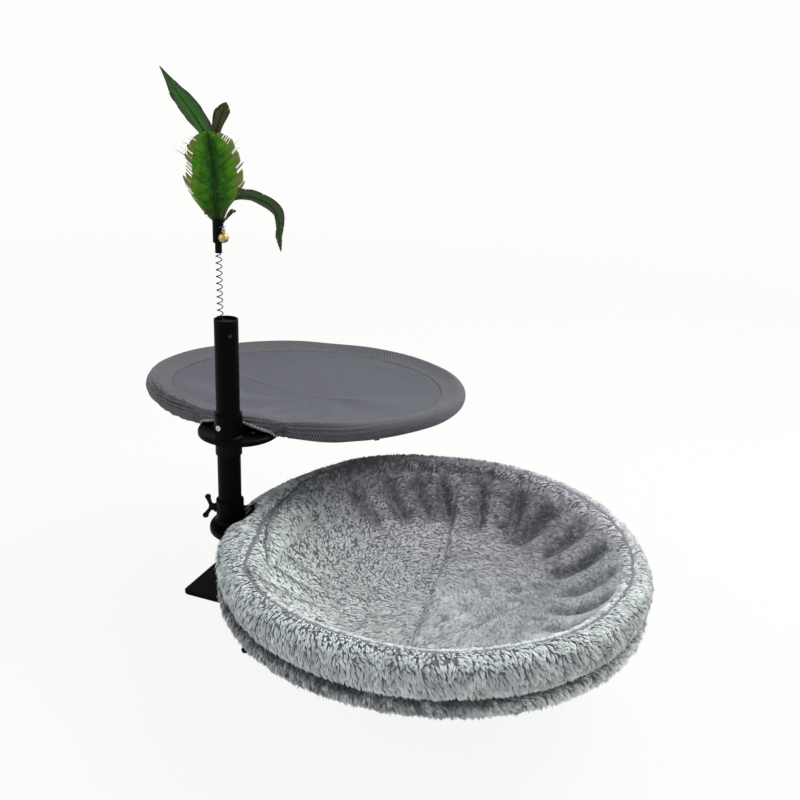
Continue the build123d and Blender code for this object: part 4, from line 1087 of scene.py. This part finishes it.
# %% Tuft maker
LOCK_TUFTS = 55
WISP_TUFTS = 8
ROOT_DEPTH = 1.2
BLADE_UP = [0.0, 0.0, 0.5, 0.5, 1.0]  # how far up the blade each of its points is
MOST_TUFTS = 60000  # in one piece
AZ_STEP, T_STEP = 0.25, 0.002
# The bracket's room with a small margin: centre out from the post, radius, bottom and top
PILE_ROOM = [(0.0, 32.0, -math.inf, math.inf), (FLANGE_OUT, 51.6, -7.4, 1.4), (RING_NEAR, 26.2, -3.8, 13.6)]


def unit(vectors):
    return vectors / np.linalg.norm(vectors, axis=-1, keepdims=True)


def slopes(shape, az, t):
    """How a skin runs at a point, along the ring and up its section, in mm for two small steps."""
    along = shape(az + AZ_STEP, t) - shape(az - AZ_STEP, t)
    up = shape(az, t + T_STEP) - shape(az, t - T_STEP)
    return along, up


def surface(shape, az, t, flip=1.0):
    """Points, outward normals and both tangents of a cushion's skin; flip is -1 for the bowl."""
    along, up = [unit(slope) for slope in slopes(shape, az, t)]
    return shape(az, t), unit(flip * np.cross(along, up)), along, up


def clear_of_bracket(points):
    """True where a point of the bed's frame keeps off the post, hub and flange."""
    x = points[..., 0] + RING_NEAR + BED_R
    y = points[..., 1]
    z = points[..., 2] + BED_RISE
    clear = np.ones(x.shape, bool)
    for out, radius, low, high in PILE_ROOM:
        clear &= (np.hypot(x - out, y) > radius) | (z > high) | (z < low)
    return clear


def nearest_of(points, share, rng):
    """For each point the number of its nearest clump centre, and all centres."""
    centres = points[rng.integers(0, len(points), int(len(points) * share))]
    tree = KDTree(len(centres))
    for k, p in enumerate(centres):
        tree.insert(p, k)
    tree.balance()
    return np.array([tree.find(p)[1] for p in points]), centres


def tufts(name, skin, lean, painted_light, length, width, stand, unrest, seed, *nodes):
    """One blade for each root: lean is the comb direction as shares of (along, up)."""
    here, normal, along, up = skin
    rng = np.random.default_rng(seed)
    n, blade = len(here), len(BLADE_UP)
    lock, locks = nearest_of(here, 1 / LOCK_TUFTS, rng)
    wisp, wisps = nearest_of(here, 1 / WISP_TUFTS, rng)
    turn = rng.normal(0, 0.42, len(locks))[lock] + rng.normal(0, 0.3, len(wisps))[wisp]
    turn = (turn + rng.normal(0, 0.16, n)) * unrest
    comb_a = lean[..., 0] * np.cos(turn) - lean[..., 1] * np.sin(turn)
    comb_u = lean[..., 0] * np.sin(turn) + lean[..., 1] * np.cos(turn)
    comb = unit(along * comb_a[:, None] + up * comb_u[:, None])
    rise = rng.normal(0, 0.08, len(locks))[lock] + rng.normal(0, 0.07, n)
    rise = np.clip(stand + unrest * rise, 0.08, 0.75)[:, None]
    size = (length * rng.uniform(0.8, 1.1, len(wisps))[wisp] * rng.uniform(0.8, 1.15, n))[:, None]
    lie = np.sqrt(1 - rise**2)
    gather = (locks[lock] - here) * 0.16 + (wisps[wisp] - here) * 0.5
    gather = gather - normal * np.sum(gather * normal, axis=1, keepdims=True)
    mid = here + (comb * lie * 0.45 + normal * rise * 0.62) * size + gather * 0.45
    tip = here + (comb * lie + normal * rise * 0.8) * size + gather
    side = unit(np.cross(normal, comb) + normal * rng.uniform(-0.35, 0.35, (n, 1)))
    half = (width / 2 * rng.uniform(0.7, 1.3, n))[:, None]
    root = here - normal * ROOT_DEPTH
    corners = [root - side * half, root + side * half, mid + side * half * 0.9, mid - side * half * 0.9, tip]
    points = np.stack(corners, 1)
    keep = clear_of_bracket(points).all(1)
    points = points[keep]
    uneven = 0.16 * rng.normal(0, 1, len(locks))[lock] + 0.13 * rng.normal(0, 1, len(wisps))[wisp]
    uneven = uneven * unrest
    # shade is the painted light and shade of the tuft's place plus a random tone of lock, wisp and tuft.
    shade = np.clip(painted_light + uneven + 0.12 * unrest * rng.normal(0, 1, n), 0, 1)[keep]
    facing = unit(normal - comb * rise * 0.35 + side * rng.normal(0, 0.12, (n, 1)))[keep]
    facing = unit(moved(points[:, 0] + facing, bed_place) - moved(points[:, 0], bed_place))
    pieces = math.ceil(len(points) / MOST_TUFTS)
    for number, part in enumerate(np.array_split(np.arange(len(points)), pieces), 1):
        m = len(part)
        uv = np.zeros((m, blade, 2))
        uv[:, :, 0] = BLADE_UP
        uv[:, :, 1] = shade[part][:, None]
        base = np.arange(m)[:, None] * blade
        quads = (base + [1, 0, 3, 2]).tolist()
        tips = (base + [2, 3, 4]).tolist()
        placed = moved(points[part].reshape(-1, 3), bed_place)
        made = new_object(f"{name}_{number}", placed, quads + tips, pile, uv.reshape(-1, 2), uv_name="tuft")
        made.data.normals_split_custom_set_from_vertices(np.repeat(facing[part], blade, axis=0).tolist())
        carried(made, "lower_hammock", "grey_plush", *nodes)
    print(name, len(points), "tufts in", pieces, "pieces")


def scatter(shape, count, seed, low=0.0, high=1.0):
    """Even roots: more are drawn than wanted, and kept in proportion to the local area."""
    rng = np.random.default_rng(seed)
    az = rng.uniform(-180, 180, count * 3)
    t = rng.uniform(low, high, count * 3)
    across, upward = [np.linalg.norm(slope, axis=1) for slope in slopes(shape, az, t)]
    area = across * upward
    chosen = rng.uniform(0, 1, len(area)) < area / np.quantile(area, 0.98)
    return az[chosen][:count], t[chosen][:count]


print("no tuft stands within", PILE_ROOM[0][1], "mm of the post's axis")

# %% [markdown]
# ## Painted light and shade on the pile
# The plush is bright on the ridge and dark in the folds and on the sides turned from the
# light: partly where the pile is pressed flat, and partly painted shade. Light alone can't
# show this on blades so thin, so each stretch of a cushion gets a tone of painted light and
# shade: a few pairs of angle and lightness, with an even change between them. The pile is
# combed and planted on the roll, then the band, then the bowl.

# %% Plant the pile


# Painted light and shade as lightness by angle round the ring; the back is darkest.
ROLL_PAINTED_LIGHT = [
    (-180, 1.0), (-130, 1.0), (-78, 1.0), (-40, 0.95), (-15, 0.82), (0, 0.8), (30, 0.8),
    (55, 0.6), (90, 0.18), (125, 0.26), (160, 0.85), (180, 1.0),
]
WALL_PAINTED_LIGHT = [
    (-180, 1.05), (-130, 0.95), (-78, 0.75), (-20, 0.48), (15, 0.32), (55, 0.16), (100, 0.25),
    (135, 0.45), (160, 0.95), (180, 1.05),
]
FLOOR_PAINTED_LIGHT = 0.53
BAND_PAINTED_LIGHT = [(-180, 0.55), (-110, 0.45), (-75, 0.55), (-45, 0.85), (0, 0.85), (180, 0.55)]


# The painted lightness at each angle, from a table of pairs.
def painted_light_at(tones, az):
    table = np.array(tones, float)
    return np.interp(az, table[:, 0], table[:, 1])


planted = 1.0
az, t = scatter(roll_point, int(88000 * planted), 51)
skin = surface(roll_point, az, t)
lean = np.stack([0.35 * np.ones_like(az), np.where(np.cos(2 * np.pi * t) > -0.2, -0.9, 0.9)], 1)
# Painted shade: the roll's outer face near the front and its underside are darkened.
outer_face = ease(np.cos(2 * np.pi * (t - 0.02)), 0.55, 0.95)
painted_light = painted_light_at(ROLL_PAINTED_LIGHT, az) - 0.34 * outer_face * ease(np.abs(gap_of_angles(az, -75.0)), 95, 60)
painted_light = painted_light - 0.5 * ease(-np.sin(2 * np.pi * t), 0.55, 0.85)
top_side = ease(np.sin(2 * np.pi * t), 0.35, 0.6)
length = 9.5 - 2.5 * top_side
stand = 0.3 - 0.08 * top_side
tufts("plush_roll_pile", skin, lean, painted_light, length, 1.7, stand, 0.6, 52, "bed_rim_roll")

az, t = scatter(band_point, int(40000 * planted), 53, -0.32, 0.25)
skin = surface(band_point, az, t)
lean = np.stack([0.4 * np.ones_like(az), -0.8 * np.ones_like(az)], 1)
# Painted shade: the band's top, tucked under the roll, is darkened.
painted_light = painted_light_at(BAND_PAINTED_LIGHT, az) - 0.45 * ease(np.sin(2 * np.pi * t), 0.35, 0.8)
tufts("plush_band_pile", skin, lean, painted_light, 8.5, 1.6, 0.3, 0.7, 54, "bed_under_band")

az, s = scatter(bowl_top, int(92000 * planted), 55, 0.02, 0.995)
skin = surface(bowl_top, az, s, -1.0)
lean = np.stack([0.7 * np.ones_like(az), -0.45 * np.ones_like(az)], 1)
to_front, to_side = skin[0][:, 0], skin[0][:, 1]
from_middle = np.hypot(to_front, to_side)
wall = ease(from_middle, 130, 185)
# Painted light and shade: the floor darkens along to_front, the wall takes its lightness by angle and a
# small lift, and the pleats' valleys are darkened.
painted_light = FLOOR_PAINTED_LIGHT - 0.0019 * to_front * (1 - wall) + (painted_light_at(WALL_PAINTED_LIGHT, az) - FLOOR_PAINTED_LIGHT) * wall
painted_light = painted_light + 0.1 * wall - 0.07 * pleats(az, from_middle)
over_seam = ease(s, 0.86, 0.93) * ease(-np.abs(gap_of_angles(az, FRONT_AZ)), -110, -85)
lean[:, 1] = lean[:, 1] + 1.6 * over_seam
length = 6.5 + 4.0 * over_seam
tufts("plush_bowl_pile", skin, lean, painted_light, length, 1.7, 0.17, 0.4, 56, "bed_dish")

# %% [markdown]
# ## Dyed feathers
# A feather is a quill with barbs on both sides, which hook together into a vane. A flat leaf
# with a drawn outline would look like paper. Here each barb is its own narrow strip: it
# leaves the quill at an angle, bends towards the tip and ends on the outline. Where barbs
# have come apart, the edge splits into points, as it does in the photograph.

# %% Feather materials
STREAK_SCALE = (1.2, 1.1, 1.0)  # along a barb and from barb to barb


def dyed_barbs(name, heart, middle, edge, rough, streak_dark, shine=0.12):
    """heart, middle and edge are the colours from the quill outward."""
    material = new_material(name)
    vane = add(material, "UVMap", uv_map="barb").outputs[0]
    parts = add(material, "SeparateXYZ", {0: vane})
    place = add(material, "TexCoord").outputs["Object"]
    blotches = {"Vector": place, "Scale": 1 / (8 * MM), "Detail": 4.0, "Roughness": 0.6}
    mottle = add(material, "TexNoise", blotches).outputs["Fac"]
    shift = spread(material, mottle, 0.3, 0.7, -0.22, 0.22)
    out = sum_up(material, "ADD", parts.outputs["X"], shift, use_clamp=True)
    near = two_colours(material, spread(material, out, 0.1, 0.62), heart, middle)
    far = two_colours(material, spread(material, out, 0.6, 0.98), near, edge)
    stretched = add(material, "VectorMath", {0: vane, 1: STREAK_SCALE}, operation="MULTIPLY").outputs[0]
    lines = add(material, "TexNoise", {"Vector": stretched, "Scale": 1.0, "Detail": 3.0}).outputs["Fac"]
    bump = add(material, "Bump", {"Height": lines, "Strength": 0.5, "Distance": 0.5 * MM})
    return finish_material(
        material,
        {
            "Base Color": two_colours(material, spread(material, lines, 0.42, 0.7), far, streak_dark),
            "Roughness": rough,
            "IOR": 1.55,
            "Specular IOR Level": shine,
            "Normal": bump.outputs[0],
        },
    )


green_barbs = dyed_barbs("dyed_green_barbs", "#083a02", "#4f8f12", "#8c8850", 0.5, "#1a4404")
glossy_barbs = dyed_barbs("dyed_glossy_barbs", "#2f7410", "#2a6412", "#0a1a06", 0.25, "#123006", 0.35)
droop_barbs = dyed_barbs("dyed_moss_barbs", "#1c4c10", "#34521e", "#221e12", 0.3, "#121e0a", 0.3)
olive_barbs = dyed_barbs("dyed_olive_barbs", "#454620", "#5c5a34", "#2a1f12", 0.45, "#231c0e")
quill_horn = moulded("feather_quill_horn", "#22301a", "#4a5a34", 0.35, 1.2, 0.1)
loose_barb = moulded("loose_barb_fibre", "#2c3a1a", "#6b6a48", 0.5, 1.2, 0.1)
print("feather dyes ready")

# %% [markdown]
# ## Where a feather lies
# The bunch is nearly flat and faces the camera, so each feather is drawn in one upright
# plane through the sleeve: how far right, how high and how wide, all as shares of the
# bunch's spread, rise and width. Each lies a little before or behind its neighbours.

# %% The bunch's plane
TEASER_TURN = math.radians(31.2)
TEASER_U = -6.5
side_dir = np.array([math.cos(TEASER_TURN), math.sin(TEASER_TURN), 0.0])
front_dir = np.array([math.sin(TEASER_TURN), -math.cos(TEASER_TURN), 0.0])
stem = side_dir * TEASER_U
SPREAD = 70.0
RISE = 161.0
WIDTH = 54.0
bunch_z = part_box("feather_sleeve")[1].z / MM


# %% Feather builder
BARB_STEPS = np.linspace(0, 1, 10)
BARB_GAP = 0.8
UPRIGHT = np.array([0.0, 0.0, 1.0])


def in_bunch(right, up, front):
    """From the bunch's plane to mm in the row frame."""
    right, up, front = np.broadcast_arrays(right, up, front)
    place = stem + side_dir * right[..., None] + front_dir * front[..., None]
    return place + UPRIGHT * (bunch_z + up)[..., None]


def feather(name, node, slot, material, rows, depth, angles, ragged, group_size, curl, seed, hairs):
    """rows are (right, up, width) shares. angles are a barb's slant at the quill and at its tip,
    in degrees. Hooked barbs make one sheet; between groups the sheet is split."""
    rng = np.random.default_rng(seed)
    rows = np.array(rows, float) * [SPREAD, RISE, WIDTH]
    fine = through(rows, np.linspace(0, len(rows) - 1, 240))
    run = np.concatenate([[0], np.cumsum(np.hypot(*np.diff(fine[:, :2], axis=0).T))])
    total = run[-1]
    count = int(total / BARB_GAP)
    spots = np.linspace(0.01, 0.999, count) * total
    u = np.interp(spots, run, fine[:, 0])
    z = np.interp(spots, run, fine[:, 1])
    half = np.maximum(np.interp(spots, run, fine[:, 2]) / 2, 0.25)
    tangent = np.stack([np.gradient(u), np.gradient(z)], 1)
    tangent = tangent / np.linalg.norm(tangent, axis=1, keepdims=True)
    across = np.stack([tangent[:, 1], -tangent[:, 0]], 1)
    n = len(BARB_STEPS)
    vertices, faces, uvs, start = [], [], [], 0
    hair_parts = []
    for sign in (-1, 1):
        torn = rng.uniform(0, 1, count) < 1 / rng.uniform(group_size * 0.6, group_size * 1.5, count)
        group = np.cumsum(torn)
        amount = rng.uniform(0, 1, group.max() + 1)[group]
        phase = np.zeros(count)
        for g in range(group.max() + 1):
            inside = np.where(group == g)[0]
            phase[inside] = np.linspace(0, 1, max(len(inside), 1))[: len(inside)]
        notch = ragged * (0.32 * amount + 0.3 * np.abs(phase - 0.7))
        first, last = np.radians(angles)
        slant = first + (last - first) * BARB_STEPS[None, :] + 0.16 * ragged * (amount - 0.5)[:, None]
        step = np.stack([np.sin(slant) * sign, np.cos(slant)], -1)
        walk = np.cumsum((step[:, 1:] + step[:, :-1]) / 2, 1) / (n - 1)
        walk = np.concatenate([np.zeros((count, 1, 2)), walk], 1)
        reach = half * (1.06 - notch) / np.abs(walk[:, -1, 0])
        walk = walk * reach[:, None, None]
        flat = walk[..., :1] * across[:, None] + walk[..., 1:] * tangent[:, None]
        off = np.abs(walk[..., 0])
        lift = 1.6 * ragged * (amount - 0.5)[:, None] * BARB_STEPS**2
        arch = 0.22 * half[:, None] * np.sin(np.pi * off / (2 * half[:, None] + 1))
        front = depth + arch - curl * off**1.6 * 0.05
        points = in_bunch(u[:, None] + flat[..., 0], z[:, None] + flat[..., 1], front + lift)
        vertices.append(points.reshape(-1, 3))
        shade = rng.uniform(0, 1, group.max() + 1)[group] * 3.0
        uvs.append(np.stack(np.broadcast_arrays(BARB_STEPS, (spots + shade)[:, None]), -1).reshape(-1, 2))
        split_from = np.clip(1.0 - ragged * rng.uniform(0.45, 0.9, count), 0.1, 1.0)
        k, i = np.meshgrid(np.arange(count - 1), np.arange(n - 1), indexing="ij")
        whole = (group[k] == group[k + 1]) | (BARB_STEPS[i + 1] < split_from[k])
        k, i = k[whole], i[whole]
        a = start + k * n + i
        quads = np.stack([a, a + 1, a + n + 1, a + n], 1)
        faces += (quads if sign > 0 else quads[:, ::-1]).tolist()
        start += count * n
        for pick in rng.integers(int(count * 0.5), int(count * 0.85), hairs if sign < 0 else hairs // 4):
            way = points[pick, -1] - points[pick, 4]
            tip = points[pick, -1] + way * rng.uniform(0.15, 0.5) + side_dir * sign * rng.uniform(0.5, 3.0)
            strand = [points[pick, 3], points[pick, 6], points[pick, -1], tip]
            hair_parts.append(tube(strand, [0.3, 0.28, 0.2, 0.06], 4))
    points = np.concatenate(vertices) * MM
    vane = new_object(name, points, faces, material, np.concatenate(uvs), uv_name="barb")
    modifier(vane, "SOLIDIFY", thickness=0.25 * MM, offset=0.0)
    apply_modifiers(vane)
    spine = in_bunch(u, z, np.full(count, depth + 0.35))
    spine = np.concatenate([[spine[0] - [0, 0, 4.0]], spine])[::2]
    v, f, uv = tube(spine, np.linspace(0.85, 0.16, len(spine)), 6)
    quill = new_object(name + "_quill", v * MM, f, quill_horn, uv)
    carried(vane, "teaser_head", slot, node)
    carried(quill, "teaser_head", slot)
    if hair_parts:
        v, f, uv = joined(hair_parts)
        loose = new_object(name + "_loose_barbs", v * MM, f, loose_barb, uv)
        carried(loose, "teaser_head", slot)


print("the bunch starts", round(bunch_z, 1), "mm above the desk")

# %% Six feathers
LONG = [
    (-0.016, -0.031, 0.030), (-0.021, 0.180, 0.060), (-0.030, 0.366, 0.140),
    (-0.085, 0.500, 0.300), (-0.190, 0.600, 0.370), (-0.340, 0.705, 0.330),
    (-0.500, 0.800, 0.230), (-0.640, 0.890, 0.120), (-0.807, 1.000, 0.010),
]
OLIVE = [
    (0.016, -0.031, 0.030), (0.022, 0.242, 0.045), (0.010, 0.478, 0.080), (0.014, 0.575, 0.200),
    (0.050, 0.650, 0.290), (0.110, 0.715, 0.190), (0.171, 0.783, 0.005),
]
BROAD = [
    (0.006, -0.031, 0.180), (-0.010, 0.010, 0.560), (-0.018, 0.055, 0.950),
    (-0.022, 0.110, 1.200), (-0.027, 0.200, 1.160), (-0.032, 0.290, 1.080),
    (-0.050, 0.370, 0.950), (-0.075, 0.440, 0.820), (-0.100, 0.510, 0.500),
    (-0.120, 0.590, 0.060),
]
DROOP = [
    (0.044, -0.031, 0.060), (0.159, 0.112, 0.200), (0.376, 0.160, 0.240), (0.636, 0.143, 0.250),
    (0.857, 0.087, 0.230), (0.959, -0.002, 0.165), (0.970, -0.112, 0.111),
    (1.003, -0.224, 0.010),
]
TUFT = [
    (0.059, -0.031, 0.037), (0.190, 0.043, 0.100), (0.287, 0.065, 0.010),
]
SPUR = [
    (-0.043, -0.031, 0.037), (-0.121, 0.037, 0.074), (-0.214, 0.041, 0.010),
]

# piece, CAD node, slot, dye, rows, depth, slants, ragged, group size, curl, seed, loose barbs
FEATHERS = [
    ("long", "feather_long", "green_feather", glossy_barbs, LONG, -1.5, (32, 18), 0.1, 30, 0.4, 61, 0),
    ("olive", "feather_olive", "olive_feather", olive_barbs, OLIVE, -3.0, (44, 30), 0.1, 22, 0.3, 62, 0),
    ("broad", "feather_broad", "green_feather", green_barbs, BROAD, 0.0, (68, 40), 0.24, 6, 0.5, 63, 9),
    ("drooping", "feather_droop", "green_feather", droop_barbs, DROOP, 1.5, (34, 20), 0.16, 14, 0.4, 64, 3),
    ("tuft", "feather_tuft", "olive_feather", olive_barbs, TUFT, 3.0, (40, 22), 0.6, 5, 0.2, 65, 0),
    ("spur", "feather_spur", "olive_feather", olive_barbs, SPUR, 3.0, (40, 22), 0.6, 5, 0.2, 66, 0),
]
for kind, *facts in FEATHERS:
    feather(f"teaser_{kind}_feather", *facts)

# %% [markdown]
# ## The spring
# The teaser stands on an open coil of dark wire. It joins the post to the head, which sways,
# so a rigid copy would tear at one end. A new coil with more points is drawn in its place,
# from its foot in the cap up to the head; it stays fixed and is carried by no body.

# %% Coil spring
COIL_R = 3.3
COIL_PITCH = 7.9
COIL_TURNS = 10
COIL_WIRE = 0.6
COIL_SINK = 2.5  # how deep the foot sits in the cap
COIL_LEAD = 1.35
spring_low, spring_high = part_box("teaser_spring")


def coil_path(per_turn):
    turns = np.linspace(0, COIL_TURNS, COIL_TURNS * per_turn + 1)
    angle = 2 * np.pi * turns
    lift = spring_low.z / MM + COIL_SINK + COIL_LEAD
    x = stem[0] + COIL_R * np.cos(angle)
    y = stem[1] + COIL_R * np.sin(angle)
    coil = np.stack([x, y, lift + COIL_PITCH * turns], 1)
    foot = [[*coil[0][:2], spring_low.z / MM + k] for k in (0.0, 1.2, 2.4)]
    top = [[*coil[-1][:2], spring_high.z / MM - k] for k in (1.2, 0.6, 0.0)]
    return np.concatenate([foot, coil[1:-1], top])


v, f, uv = tube(coil_path(28), COIL_WIRE)
coil = new_object("teaser_coil_spring", v * MM, f, music_wire, uv)
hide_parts("teaser_spring")
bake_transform(coil)
print("spring from", round(spring_low.z, 4), "to", round(spring_high.z, 4))

# %% [markdown]
# ## Studio
# The photograph is a product shot on white. Large soft lamps give the broad highlights on
# the post, and a pale floor under the clamp takes a faint shadow. The white behind the
# object comes from the colour of the world and floor as the camera, a gloss or glass sees
# them, so the light on the object stays at a plain level. Near the object the floor keeps
# a little of its paper, which holds the shadow; further out it fades to the plain white.


# %% Floor, world and lamps
WHITE = "#fdfdfb"


def seen_white(owner):
    """1 for rays from the camera, from a gloss and through glass, else 0."""
    ray = add(owner, "LightPath").outputs
    polished = sum_up(owner, "MAXIMUM", ray["Is Camera Ray"], ray["Is Glossy Ray"])
    return sum_up(owner, "MAXIMUM", polished, ray["Is Transmission Ray"])


def studio_floor():
    material = new_material("pale_studio_floor")
    paper = add(material, "BsdfDiffuse", {"Color": linear("#f4f4f2")}).outputs[0]
    bright = add(material, "Emission", {"Color": linear(WHITE), "Strength": 1.0}).outputs[0]
    place = add(material, "TexCoord").outputs["Object"]
    away = add(material, "VectorMath", {0: place}, operation="LENGTH").outputs["Value"]
    plain = spread(material, away, 0.5, 3.0, 0.92, 1.0)
    share = sum_up(material, "MULTIPLY", seen_white(material), plain)
    mixed = add(material, "MixShader", {0: share, 1: paper, 2: bright})
    add(material, "OutputMaterial", {"Surface": mixed.outputs[0]})
    return material


FLOOR_HALF = 6.0
SQUARE = [(-1, -1), (1, -1), (1, 1), (-1, 1)]
floor_z = cad_box[0].z - 0.5 * MM
floor_corners = [(x * FLOOR_HALF, y * FLOOR_HALF, floor_z) for x, y in SQUARE]
floor_mesh = bpy.data.meshes.new("studio_floor")
floor_mesh.from_pydata(floor_corners, [], [(0, 1, 2, 3)])
floor_mesh.materials.append(studio_floor())
floor = bpy.data.objects.new("studio_floor", floor_mesh)
bpy.context.scene.collection.objects.link(floor)

world = bpy.data.worlds.new("white_studio")
world.use_nodes = True
world.node_tree.nodes.clear()
bpy.context.scene.world = world
soft = add(world, "Background", {"Color": linear("#eef1f5"), "Strength": 0.5})
white = add(world, "Background", {"Color": linear(WHITE), "Strength": 1.0})
mixed = add(world, "MixShader", {0: seen_white(world), 1: soft.outputs[0], 2: white.outputs[0]})
add(world, "OutputWorld", {"Surface": mixed.outputs[0]})


def softbox(name, place, aim, size, watts, colour="#ffffff"):
    lamp = bpy.data.lights.new(name, "AREA")
    lamp.shape = "RECTANGLE"
    lamp.size, lamp.size_y = size
    lamp.energy = watts
    lamp.color = linear(colour)[:3]
    made = bpy.data.objects.new(name, lamp)
    way = Vector(aim) - Vector(place)
    made.matrix_world = Matrix.Translation(place) @ way.to_track_quat("-Z", "Y").to_matrix().to_4x4()
    bpy.context.scene.collection.objects.link(made)
    return made


between_beds = (0.15, 0.1, 0.15)
softbox("key_right_above", (1.2, 0.9, 1.6), between_beds, (1.4, 1.4), 34.0)
softbox("fill_left_front", (-1.2, -1.3, 1.1), between_beds, (1.6, 1.6), 12.0, "#f3f6ff")
softbox("top_back", (-0.1, 1.3, 1.9), between_beds, (1.6, 1.0), 9.0)

view = bpy.context.scene.view_settings
view.view_transform = "Standard"
print("floor at", round(floor_z, 4))
